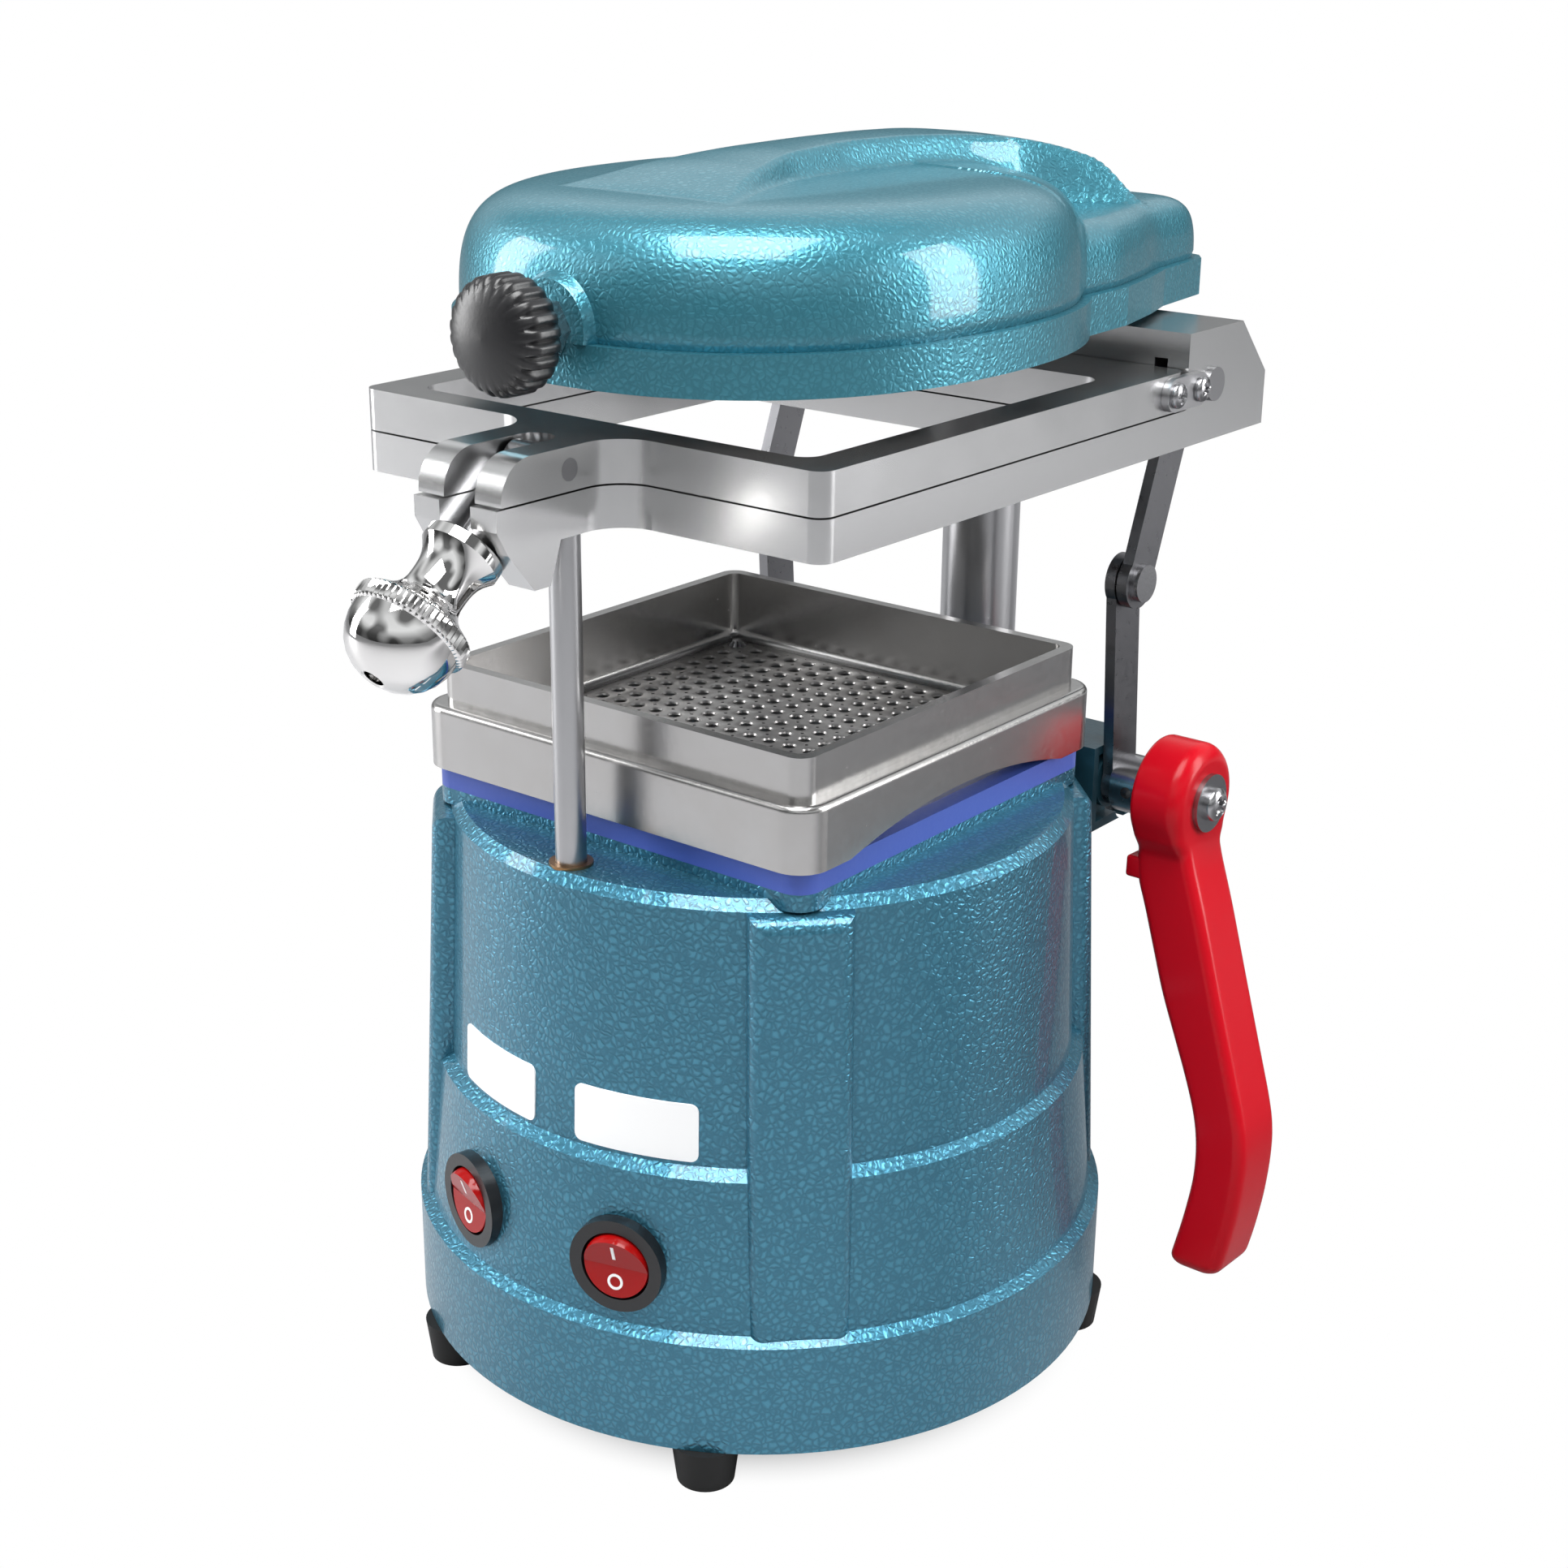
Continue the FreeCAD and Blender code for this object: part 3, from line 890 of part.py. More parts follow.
# Toggle linkage: shaft, cranks and links
shaft_start = "(crank_inner + bar_thick + left_collar_long)"
drive_shaft = cut("drive_shaft", rod("shaft_bar", "shaft_radius", f"hub_outer + {shaft_start}", f"-{shaft_start}",
                                     "shaft_y", "shaft_z", "X"),
                  rod("shaft_tap", "lever_screw_radius + slide_gap", "lever_screw_long + over_cut",
                      "hub_outer - lever_screw_long", "shaft_y", "shaft_z", "X"))
crank = cut("crank_arm_right", bar("crank", "crank_inner", "bar_thick",
                                   [("shaft_y", "shaft_z"), ("knee_y", "knee_z")], "bar_eye"),
            rod("crank_bore", "shaft_radius + slide_gap", "bar_thick + over_cut * 2", "crank_inner - over_cut",
                "shaft_y", "shaft_z", "X"),
            rod("crank_knee", "knee_pin_radius + slide_gap", "bar_thick + over_cut * 2", "crank_inner - over_cut",
                "knee_y", "knee_z", "X"))
crank_left = mirror("crank_arm_left", crank)
link = cut("link_right", bar("link", "link_inner", "bar_thick",
                             [("knee_y", "knee_z"), ("link_pin_y", "link_pin_z")], "bar_eye"),
           rod("link_knee", "knee_pin_radius + slide_gap", "bar_thick + over_cut * 2", "link_inner - over_cut",
               "knee_y", "knee_z", "X"),
           rod("link_top", "link_pin_radius + slide_gap", "bar_thick + over_cut * 2", "link_inner - over_cut",
               "link_pin_y", "link_pin_z", "X"))
link_left = mirror("link_left", link)
knee_pin = fuse("knee_pin", rod("knee_pin_bar", "knee_pin_radius", "bar_thick", "link_inner", "knee_y", "knee_z", "X"),
                rod("knee_pin_head", "knee_head_radius", "knee_head_thick", "link_inner + bar_thick", "knee_y",
                    "knee_z", "X"))
knee_pins = group("knee_pins", knee_pin, mirror("knee_pin_left", knee_pin))
pin_start = "(link_inner - bar_thick)"
link_pin = fuse("link_pin", rod("link_pin_bar", "link_pin_radius", f"frame_half - {pin_start}", pin_start,
                                "link_pin_y", "link_pin_z", "X"),
                rod("link_pin_head", "link_head_radius", "link_head_proud", "frame_half", "link_pin_y",
                    "link_pin_z", "X"))
link_pins = group("link_pins", link_pin, mirror("link_pin_left", link_pin))


def shaft_collar(name, start, length):
    """Ring on the shaft with a hole for its set screw."""
    return cut(name, rod(f"{name}_ring", "collar_out_radius", length, start, "shaft_y", "shaft_z", "X"),
               rod(f"{name}_bore", "shaft_radius + slide_gap", f"{length} + over_cut * 2", f"{start} - over_cut",
                   "shaft_y", "shaft_z", "X"),
               rod(f"{name}_grub", "grub_radius", "collar_out_radius", f"{start} + ({length}) / 2",
                   "shaft_y - shaft_radius", "shaft_z", "-Y"))


handle_collar = shaft_collar("handle_collar", "(crank_inner + bar_thick)", "(hub_inner - crank_inner - bar_thick)")
end_collar = shaft_collar("end_collar", f"-{shaft_start}", "left_collar_long")

# Hand lever, hanging from its hub and bowed outwards
inner_shares = [(0.0, 0.14), (0.114, 0.197), (0.487, 0.366), (1.034, 0.627), (1.186, 0.768), (1.165, 0.845),
                (0.97, 0.985)]
outer_shares = [(1.585, 1.006), (1.754, 0.857), (1.788, 0.752), (1.657, 0.633), (1.521, 0.535), (0.97, 0.283),
                (0.61, 0.1)]
lever_points = [(f"hub_inner + lever_swing * {out}", f"-lever_reach * {down}")
                for out, down in inner_shares + outer_shares]
lever_points += [("hub_outer - hub_round", "0"), ("hub_inner", "0")]
lever_arm = rounded("lever_arm", prism("lever_plain", "XZ_Plane", lever_points, "lever_front * 2"),
                    "lever_round", lambda middle, along: (
                        abs(along.y) < 0.1 and middle.z < -value("hub_radius") and middle.z > -value("lever_reach")))
lever_tab = block("lever_tab", ("hub_inner - lever_step", "hub_inner + lever_step"),
                  ("-lever_front", "-lever_front / 3"), ("-hub_radius - lever_front * 0.8", "-hub_radius"))
hub = rounded("lever_hub", rod("hub_disc", "hub_radius", "hub_outer - hub_inner", "hub_inner", "0", "0", "X"),
              "hub_round", lambda middle, along: abs(along.x) < 0.1 and middle.x > value("hub_outer - hub_round"))
handle_lever = cut("handle_lever", fuse("lever_body", lever_arm, lever_tab, hub),
                   rod("hub_bore", "shaft_radius + slide_gap", "hub_outer", "hub_inner - over_cut", "0", "0", "X"))
handle_lever.Placement = Placement(Vector(), Rotation(Vector(1, 0, 0), -value("lever_lean")))
put(handle_lever, "0", "shaft_y", "shaft_z")
handle_washer = cut("handle_washer", rod("washer_disc", "washer_radius", "washer_thick", "hub_outer", "shaft_y",
                                         "shaft_z", "X"),
                    rod("washer_bore", "lever_screw_radius + slide_gap", "washer_thick + over_cut * 2",
                        "hub_outer - over_cut", "shaft_y", "shaft_z", "X"))
handle_screw = fuse("handle_screw", rod("lever_screw_pin", "lever_screw_radius", "lever_screw_long + washer_thick",
                                        "hub_outer - lever_screw_long", "shaft_y", "shaft_z", "X"),
                    rod("lever_screw_cap", "lever_screw_head", "lever_screw_proud", "hub_outer + washer_thick",
                        "shaft_y", "shaft_z", "X"))

# Heater head: the round part follows |x/a|^n + |y/b|^n = 1, and a lobe runs back round the column
head_power = 2.3
lobe_shares = [(0.84, 0.3), (0.813, 0.54), (0.75, 0.68), (0.692, 0.775), (0.667, 0.88), (0.65, 0.95), (0.6, 0.985),
               (0.52, 1.0)]


def oval(inset, z):
    """Smooth closed outline of the head's round part."""
    a, b, mid = value("head_half") - inset, value("head_long") - inset, value("head_shift")
    spots = []
    for n in range(24):
        c, s = math.cos(math.tau * n / 24), math.sin(math.tau * n / 24)
        spots.append(Vector(a * math.copysign(abs(c) ** (2 / head_power), c),
                            mid + b * math.copysign(abs(s) ** (2 / head_power), s), z))
    curve = Part.BSplineCurve()
    curve.interpolate(spots, PeriodicFlag=True)
    return Part.Wire([curve.toShape()])


def lobe(inset, z):
    """Closed outline of the lobe behind the round part."""
    a, back = value("head_half"), value("lobe_back") - inset
    right = [Vector(a * out - inset, back * far, z) for out, far in lobe_shares]
    left = [Vector(-spot.x, spot.y, z) for spot in reversed(right)]
    return Part.makePolygon(right + left + right[:1])


def lump(name, wires):
    """Solid through a stack of outlines."""
    obj = doc.addObject("Part::Feature", name)
    obj.Shape = Part.makeLoft(wires, True, False)
    return obj


# Spine on the dome, as shares: of the round part's half length behind its middle, of its half width, of the height
spine_shares = [(-0.92, 0.5, 0.0), (-0.77, 0.47, 0.66), (-0.62, 0.37, 0.8), (-0.37, 0.25, 0.92), (-0.12, 0.165, 0.98),
                (0.19, 0.13, 1.0), (0.5, 0.145, 0.995), (0.77, 0.19, 0.97), (0.99, 0.29, 0.92), (1.14, 0.43, 0.83),
                (1.24, 0.58, 0.7), (1.32, 0.66, 0.0)]
dome_station_shares = [-0.985, -0.95, -0.88, -0.77, -0.62, -0.43, -0.2, 0.05, 0.3, 0.5, 0.67, 0.8, 0.9, 0.96]
lobe_station_shares = [0.63, 0.7, 0.78, 0.86, 0.93, 0.98, 1.0]
arch_steps = 6


def between(spot, table):
    """Read a table of shares at a spot, straight between its rows."""
    if spot <= table[0][0]:
        return table[0][1:]
    for near, far in zip(table, table[1:]):
        if spot <= far[0]:
            part = (spot - near[0]) / (far[0] - near[0])
            return tuple(a + (b - a) * part for a, b in zip(near[1:], far[1:]))
    return table[-1][1:]


def arch(y, inset, seam, drop):
    """Closed cross-section of the cover at one place along it: wall, crown and spine, mirrored."""
    a, b, mid = value("head_half") - inset, value("head_long") - inset, value("head_shift")
    back, flank = value("lobe_back") - inset, value("spine_flank")
    rises = [value(f"rim_seam + {size}") - drop - seam for size in ("dome_rise", "lobe_rise", "spine_rise")]
    along = abs(y - mid) / b
    round_wide = a * max(0, 1 - along ** head_power) ** (1 / head_power)
    sides = [(far, out) for out, far in lobe_shares]
    rear_wide = between(y / back, sides)[0] * value("head_half") - inset if y > mid + b / 2 else 0
    wide = max(round_wide, rear_wide)

    def height(x):
        out = ((x / a) ** head_power + along ** head_power) ** (1 / head_power)
        crown = rises[0] * max(0, 1 - out ** 10) ** 0.34 * (1 - 0.05 * out ** 2)
        shelf = rises[1] * (max(0, 1 - (x / wide) ** 14) * max(0, 1 - (y / back) ** 30 * 0.98)) ** 0.33
        return max(crown, shelf if rear_wide else 0, flank / 4)

    share, lift = between((y - mid) / b, spine_shares)
    crest = min(share * value("head_half"), wide * 0.55)
    foot = crest + flank
    right = [Vector(wide, y, seam)]
    for n in range(arch_steps + 1):
        x = foot + (wide * 0.9985 - foot) * math.cos(math.pi / 2 * n / arch_steps)
        right.append(Vector(x, y, seam + height(x)))
    right.append(Vector(crest, y, seam + max(height(crest) + flank / 40, rises[2] * lift - flank / 2)))
    right.append(Vector(crest * 0.8, y, seam + max(height(crest * 0.8) + flank / 40, rises[2] * lift)))
    left = [Vector(-spot.x, spot.y, spot.z) for spot in reversed(right)]
    return Part.makePolygon(right + left + right[:1])


def head(name, inset, bottom, drop):
    """Dome, spine and lobe above the seam as one solid through cross-sections."""
    seam, b, back = value(bottom), value("head_long") - inset, value("lobe_back") - inset
    spots = [value("head_shift") + b * share for share in dome_station_shares]
    spots += [back * share for share in lobe_station_shares]
    obj = doc.addObject("Part::Feature", name)
    obj.Shape = Part.makeLoft([arch(y, inset, seam, drop) for y in spots], True, True)
    return obj


wall = value("head_wall")
ledge_in = value("cover_ledge")
rim_solid = fuse("rim_outer", lump("rim_outer_round", [oval(0, value("rim_bottom")), oval(0, value("rim_seam"))]),
                 lump("rim_outer_lobe", [lobe(0, value("rim_bottom")), lobe(0, value("rim_seam"))]))
rim_void = fuse("rim_inner",
                lump("rim_inner_round", [oval(wall, value("rim_bottom - over_cut")),
                                         oval(wall, value("rim_seam + over_cut"))]),
                lump("rim_inner_lobe", [lobe(wall, value("rim_bottom - over_cut")),
                                        lobe(wall, value("rim_seam + over_cut"))]))
heater_rim = cut("heater_rim", rim_solid, rim_void)
grip_pad = rod("grip_pad", "grip_boss", "nut_start - head_long + grip_boss", "0", "-head_long + grip_boss", "grip_z",
               "-Y")
heater_cover = cut("heater_cover", fuse("cover_solid", head("cover_outer", ledge_in, "rim_seam", 0), grip_pad),
                   head("cover_inner", ledge_in + wall, "rim_seam - over_cut", wall),
                   block("cover_trim", ("-head_half", "head_half"), ("-head_long", "lobe_back"),
                         ("rim_bottom", "rim_seam")))
sleeve_arm = block("sleeve_arm", ("-head_half * 0.62", "head_half * 0.62"),
                   ("column_y - head_wall", "column_y + head_wall"), ("sleeve_bottom", "rim_seam"))
heater_collar = cut("heater_collar", fuse("sleeve_body", sleeve_arm, rod(
    "sleeve_ring", "sleeve_radius", "sleeve_roof - sleeve_bottom", "0", "column_y", "sleeve_bottom")),
    rod("sleeve_bore", "column_radius + slide_gap", "column_top", "0", "column_y", "sleeve_bottom - over_cut"))

# Reflector pan under the cover, with the heating element inside it
plate = lump("reflector_plate", [oval(wall + value("seat_gap"), value("rim_seam - reflector_thick")),
                                 oval(wall + value("seat_gap"), value("rim_seam"))])
pan = block("pan_outer", ("-reflector_half", "reflector_half"),
            ("head_shift - reflector_half", "head_shift + reflector_half"),
            ("rim_seam - reflector_thick", "rim_seam + reflector_deep"))
pan_void = block("pan_inner", ("-reflector_half + reflector_thick", "reflector_half - reflector_thick"),
                 ("head_shift - reflector_half + reflector_thick", "head_shift + reflector_half - reflector_thick"),
                 ("rim_seam - reflector_thick - over_cut", "rim_seam + reflector_deep - reflector_thick"))
heat_reflector = cut("heat_reflector", fuse("reflector_body", plate, pan), pan_void,
                     rod("reflector_notch", "sleeve_radius + seat_gap", "sleeve_roof - sleeve_bottom", "0",
                         "column_y", "sleeve_bottom"))
runs = 5
gap, half_run, level = value("coil_pitch"), value("coil_half"), value("coil_height")
path = []
for n in range(runs):
    y = value("head_shift") + (n - (runs - 1) / 2) * gap
    sign = 1 if n % 2 == 0 else -1
    path.append(Part.LineSegment(Vector(-sign * half_run, y, level), Vector(sign * half_run, y, level)).toShape())
    if n < runs - 1:
        path.append(Part.Arc(Vector(sign * half_run, y, level), Vector(sign * (half_run + gap / 2), y + gap / 2, level),
                             Vector(sign * half_run, y + gap, level)).toShape())
spine = Part.Wire(path)
section = Part.Wire(Part.makeCircle(value("coil_radius"), spine.Edges[0].valueAt(0), Vector(1, 0, 0)))
coil = doc.addObject("Part::Feature", "coil")
coil.Shape = spine.makePipeShell([section], True, True)
hangers = [rod(f"hanger_{n}", "stand_radius", "rim_seam + reflector_deep - reflector_thick - coil_height",
               f"{sx} * coil_half / 2", f"head_shift + {sy} * coil_pitch * 2", "coil_height")
           for n, (sx, sy) in enumerate(((-1, -1), (1, -1), (-1, 1), (1, 1)))]
heating_element = fuse("heating_element", coil, *hangers)

# Knob at the front of the heater
nut = bind(doc.addObject("Part::Prism", "knob_nut"), Circumradius="nut_radius", Height="nut_end - nut_start")
nut.Polygon = 6
nut.Placement = Placement(Vector(), TURNS["-Y"])
put(nut, "0", "-nut_start", "grip_z")
flutes = 9
grip_spots = [Vector(radius * math.cos(turn), radius * math.sin(turn), 0) for radius, turn in (
    (value("grip_radius") * (1 - 0.05 * (1 - math.cos(math.tau * n / 4))), math.tau * n / (4 * flutes))
    for n in range(4 * flutes))]
grip_shares = [(0.0, 0.9), (0.12, 1.0), (0.8, 0.97), (0.94, 0.88), (1.0, 0.7)]
heater_knob = doc.addObject("Part::Feature", "heater_knob")
heater_knob.Shape = Part.makeLoft([Part.makePolygon([Vector(spot.x * size, spot.y * size,
                                                            value("grip_end - nut_end") * along)
                                                     for spot in grip_spots + grip_spots[:1]])
                                   for along, size in grip_shares], True, True)
heater_knob.Placement = Placement(Vector(), TURNS["-Y"])
put(heater_knob, "0", "-nut_end", "grip_z")

PIECES = [
    "base_housing", "base_plate", "feet", "foot_screws", "vacuum_motor", "motor_gasket", "power_inlet",
    "switch_bezel_right", "switch_bezel_left", "rocker_right", "rocker_left", "seal_pad", "forming_tray",
    "perforated_plate", "tray_screws", "rear_column", "rod_bush", "bearing_bracket_right",
    "bearing_bracket_left", "bracket_screws", "lower_frame", "column_bushes", "guide_rod", "link_pins",
    "pivot_screws", "upper_frame", "clamp_pins", "hinge_straps", "strap_screws", "swing_bolt", "clamp_knob",
    "drive_shaft", "crank_arm_right", "crank_arm_left", "handle_collar", "end_collar", "handle_lever",
    "handle_washer", "handle_screw", "link_right", "link_left", "knee_pins", "heater_rim", "heater_cover",
    "heater_collar", "heat_reflector", "heating_element", "knob_nut", "heater_knob",
]

doc.recompute()
for obj in doc.Objects:
    if "Invalid" in obj.State or "Error" in obj.State:
        raise RuntimeError(f"{obj.Name} failed: {obj.State}")
os.makedirs("parts", exist_ok=True)
for piece in PIECES:
    shape = doc.getObject(piece).Shape
    if shape.isNull() or not shape.isValid() or not shape.Solids:
        raise RuntimeError(f"{piece} is not a valid solid")
for piece in PIECES:
    doc.getObject(piece).Shape.exportStep(f"parts/{piece}.step")
print(len(PIECES), "pieces written")
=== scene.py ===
import json
import math

import bpy
import numpy as np
from mathutils import Matrix, Vector


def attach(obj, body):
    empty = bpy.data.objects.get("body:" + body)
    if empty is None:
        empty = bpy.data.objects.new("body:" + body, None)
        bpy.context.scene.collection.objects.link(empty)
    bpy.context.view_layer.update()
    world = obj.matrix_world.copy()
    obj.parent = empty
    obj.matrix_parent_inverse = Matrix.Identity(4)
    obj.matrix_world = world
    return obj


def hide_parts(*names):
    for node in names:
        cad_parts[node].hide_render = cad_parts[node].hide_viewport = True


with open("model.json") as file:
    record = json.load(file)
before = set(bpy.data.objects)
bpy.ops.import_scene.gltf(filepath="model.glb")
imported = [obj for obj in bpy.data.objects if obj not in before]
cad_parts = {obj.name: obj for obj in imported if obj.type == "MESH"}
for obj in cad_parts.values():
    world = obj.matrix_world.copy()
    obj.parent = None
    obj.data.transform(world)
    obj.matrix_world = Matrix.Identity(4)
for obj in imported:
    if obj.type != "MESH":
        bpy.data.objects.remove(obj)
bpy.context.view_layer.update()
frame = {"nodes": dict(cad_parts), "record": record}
NODES = frame["nodes"]
MM = 0.001

# Camera: azimuth, height and roll in radians and a place in metres, solved from the photograph's perspective
scene = bpy.context.scene
AZ, EL, ROLL = 0.665544, 0.353320, 0.010394
back = Vector((math.sin(AZ) * math.cos(EL), -math.cos(AZ) * math.cos(EL), math.sin(EL)))
right = Vector((math.cos(AZ), math.sin(AZ), 0.0))
up = back.cross(right)
right_rolled = right * math.cos(ROLL) + up * math.sin(ROLL)
up_rolled = up * math.cos(ROLL) - right * math.sin(ROLL)
camera_data = bpy.data.cameras.new("camera")
camera_data.lens = 56.28
camera_data.sensor_width = 36.0
camera_data.clip_end = 50.0
camera = bpy.data.objects.new("camera", camera_data)
scene.collection.objects.link(camera)
stand = Matrix((right_rolled, up_rolled, back)).transposed().to_4x4()
stand.translation = Vector((0.372760, -0.466040, 0.371458))
camera.matrix_world = stand
scene.camera = camera

# Materials
MATERIALS = {}


def node_of(tree, kind, settings=None, placed=(), **inputs):
    """Adds a shader node. Its options come first, then its inputs by place or by name: a socket is linked to
    the input, and any other value is written in it."""
    made = tree.nodes.new(kind)
    for key, value in (settings or {}).items():
        setattr(made, key, value)
    pairs = [(made.inputs[place], value) for place, value in enumerate(placed) if value is not None]
    pairs += [(made.inputs[key.replace("_", " ")], value) for key, value in inputs.items()]
    for socket, value in pairs:
        if isinstance(value, bpy.types.NodeSocket):
            tree.links.new(value, socket)
        else:
            socket.default_value = value
    return made


def mixed_color(tree, factor, first, second):
    """Mix of two colours."""
    return node_of(tree, "ShaderNodeMix", {"data_type": "RGBA"}, Factor=factor, A=first, B=second).outputs["Result"]


def spread(tree, value, low=0.0, high=1.0, out_low=0.0, out_high=1.0, eased_ends=False):
    """Maps low..high to out_low..out_high, held at the ends, with an S-shaped course when eased_ends is set."""
    options = {"interpolation_type": "SMOOTHSTEP"} if eased_ends else {}
    return node_of(tree, "ShaderNodeMapRange", options, Value=value, From_Min=low, From_Max=high, To_Min=out_low,
                   To_Max=out_high).outputs["Result"]


def bumped(tree, bsdf, height, source):
    """Links a bump of a height in metres to the material."""
    bump = node_of(tree, "ShaderNodeBump", Distance=height, Height=source)
    tree.links.new(bump.outputs["Normal"], bsdf.inputs["Normal"])


def hammer(tree, bsdf, place, color, second, cells, height, rough):
    """Hammered paint: cells with raised middles and dark seams, uneven in size, from warped cell patterns."""
    warp = node_of(tree, "ShaderNodeTexNoise", Vector=place, Scale=cells * 0.6, Detail=2.0)
    push = node_of(tree, "ShaderNodeVectorMath", {"operation": "MULTIPLY_ADD"},
                   (warp.outputs["Color"], (1.1 / cells,) * 3, place))
    pattern = node_of(tree, "ShaderNodeTexVoronoi", {"feature": "DISTANCE_TO_EDGE"}, Vector=push.outputs["Vector"],
                      Scale=cells)
    seam = spread(tree, pattern.outputs["Distance"], high=0.34, eased_ends=True)
    tree.links.new(mixed_color(tree, seam, (*color, 1.0), (*second, 1.0)), bsdf.inputs["Base Color"])
    bumped(tree, bsdf, height, seam)
    tree.links.new(spread(tree, seam, out_low=rough + 0.12, out_high=rough), bsdf.inputs["Roughness"])


def make_material(name, color, rough, metal=0.0, coat=0.0, grain=None, blotch=None, specular=0.5, hammered=None):
    """Principled material. grain is (cells per metre, bump height, roughness change), blotch is (second colour,
    cells per metre, amount) and hammered is (seam's colour, cell's colour, cells per metre, bump height,
    roughness)."""
    mat = bpy.data.materials.new(name)
    mat.use_nodes = True
    tree = mat.node_tree
    bsdf = tree.nodes["Principled BSDF"]
    for key, value in (("Base Color", (*color, 1.0)), ("Roughness", rough), ("Metallic", metal),
                       ("Coat Weight", coat), ("Coat Roughness", 0.08), ("Specular IOR Level", specular)):
        bsdf.inputs[key].default_value = value
    place = tree.nodes.new("ShaderNodeTexCoord").outputs["Object"]
    if blotch:
        second, cells, amount = blotch
        noise = node_of(tree, "ShaderNodeTexNoise", Vector=place, Scale=cells, Detail=3.0, Roughness=0.6)
        share = spread(tree, noise.outputs["Fac"], 0.35, 0.65, out_high=amount)
        tree.links.new(mixed_color(tree, share, (*color, 1.0), (*second, 1.0)), bsdf.inputs["Base Color"])
    if hammered:
        hammer(tree, bsdf, place, *hammered)
    if grain:
        cells, height, change = grain
        noise = node_of(tree, "ShaderNodeTexNoise", Vector=place, Scale=cells, Detail=4.0).outputs["Fac"]
        bumped(tree, bsdf, height, noise)
        tree.links.new(spread(tree, noise, out_low=rough - change, out_high=rough + change),
                       bsdf.inputs["Roughness"])
    MATERIALS[name] = mat


make_material("teal_paint", (0.034, 0.165, 0.218), 0.30, 0.66, 0.45,
              hammered=((0.033, 0.164, 0.216), (0.048, 0.216, 0.280), 640.0, 0.00007, 0.29))
make_material("frame_aluminium", (0.60, 0.60, 0.60), 0.24, 1.0, 0.0, (900.0, 0.0000015, 0.02),
              ((0.50, 0.50, 0.50), 60.0, 0.5))
make_material("tray_aluminium", (0.46, 0.455, 0.45), 0.24, 1.0, 0.0, (700.0, 0.00002, 0.06),
              ((0.43, 0.42, 0.41), 90.0, 0.6))
make_material("floor_plate", (0.48, 0.47, 0.46), 0.36, 1.0, 0.0, (700.0, 0.00004, 0.08),
              ((0.27, 0.26, 0.255), 120.0, 0.6))
make_material("teal_drum", (0.034, 0.150, 0.220), 0.30, 0.76, 0.45,
              hammered=((0.032, 0.142, 0.212), (0.054, 0.215, 0.308), 560.0, 0.00012, 0.29))
make_material("teal_smooth", (0.016, 0.062, 0.088), 0.38, 0.3, 0.15, (500.0, 0.00006, 0.06))
make_material("milled_aluminium", (0.58, 0.58, 0.58), 0.25, 1.0, 0.0, (900.0, 0.0000015, 0.02))
make_material("satin_steel", (0.42, 0.42, 0.43), 0.30, 1.0, 0.0, (600.0, 0.00001, 0.05))
make_material("link_steel", (0.20, 0.20, 0.21), 0.30, 1.0, 0.0, (500.0, 0.00002, 0.08))
make_material("chrome", (0.74, 0.73, 0.72), 0.05, 1.0)
make_material("steel", (0.36, 0.36, 0.37), 0.25, 1.0, 0.0, (1200.0, 0.00002, 0.05))
make_material("dark_steel", (0.10, 0.09, 0.085), 0.38, 0.8, 0.0, (900.0, 0.00003, 0.08))
make_material("brass", (0.31, 0.18, 0.085), 0.35, 1.0, 0.0, (900.0, 0.00003, 0.06))
make_material("black_plastic", (0.007, 0.007, 0.008), 0.34, 0.0, 0.0, (1500.0, 0.00002, 0.05))
make_material("motor_grey", (0.08, 0.08, 0.085), 0.5)
make_material("red_plastic", (0.40, 0.0025, 0.009), 0.24, 0.0, 0.0, (260.0, 0.00004, 0.04), specular=0.16)
make_material("red_rocker", (0.27, 0.003, 0.003), 0.14, 0.0, 0.15, specular=0.15)
make_material("blue_silicone", (0.045, 0.085, 0.37), 0.50, 0.0, 0.0, (700.0, 0.00005, 0.08))
make_material("foot_rubber", (0.008, 0.008, 0.008), 0.60, specular=0.25)
make_material("white_mark", (0.78, 0.78, 0.78), 0.4)

SLOT_OF = {entry["node"]: entry["material_slot"] for entry in frame["record"]["subparts"]}
FINISH = {"lower_frame": "milled_aluminium", "rear_column": "satin_steel", "link_right": "link_steel",
          "link_left": "link_steel", "crank_arm_right": "link_steel", "crank_arm_left": "link_steel",
          "guide_rod": "satin_steel", "base_housing": "teal_drum", "hinge_straps": "satin_steel",
          "bearing_bracket_right": "teal_smooth", "bearing_bracket_left": "teal_smooth"}
for node_name, node_obj in NODES.items():
    node_obj.data.materials.clear()
    node_obj.data.materials.append(MATERIALS[FINISH.get(node_name, SLOT_OF[node_name])])


# New pieces, in millimetres
SHARP = math.radians(32)


def make_piece(name, verts, faces, body, slot_name, replaces=(), material=None):
    """Builds one smooth piece from points in millimetres and lets it ride on a body."""
    mesh = bpy.data.meshes.new(name)
    mesh.from_pydata([tuple(v) for v in np.asarray(verts) * MM], [], [tuple(int(i) for i in f) for f in faces])
    mesh.update()
    obj = bpy.data.objects.new(name, mesh)
    scene.collection.objects.link(obj)
    mesh.materials.append(MATERIALS[material or slot_name])
    mesh.polygons.foreach_set("use_smooth", [True] * len(mesh.polygons))
    mesh.set_sharp_from_angle(angle=SHARP)
    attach(obj, body)
    if replaces:
        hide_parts(*replaces)


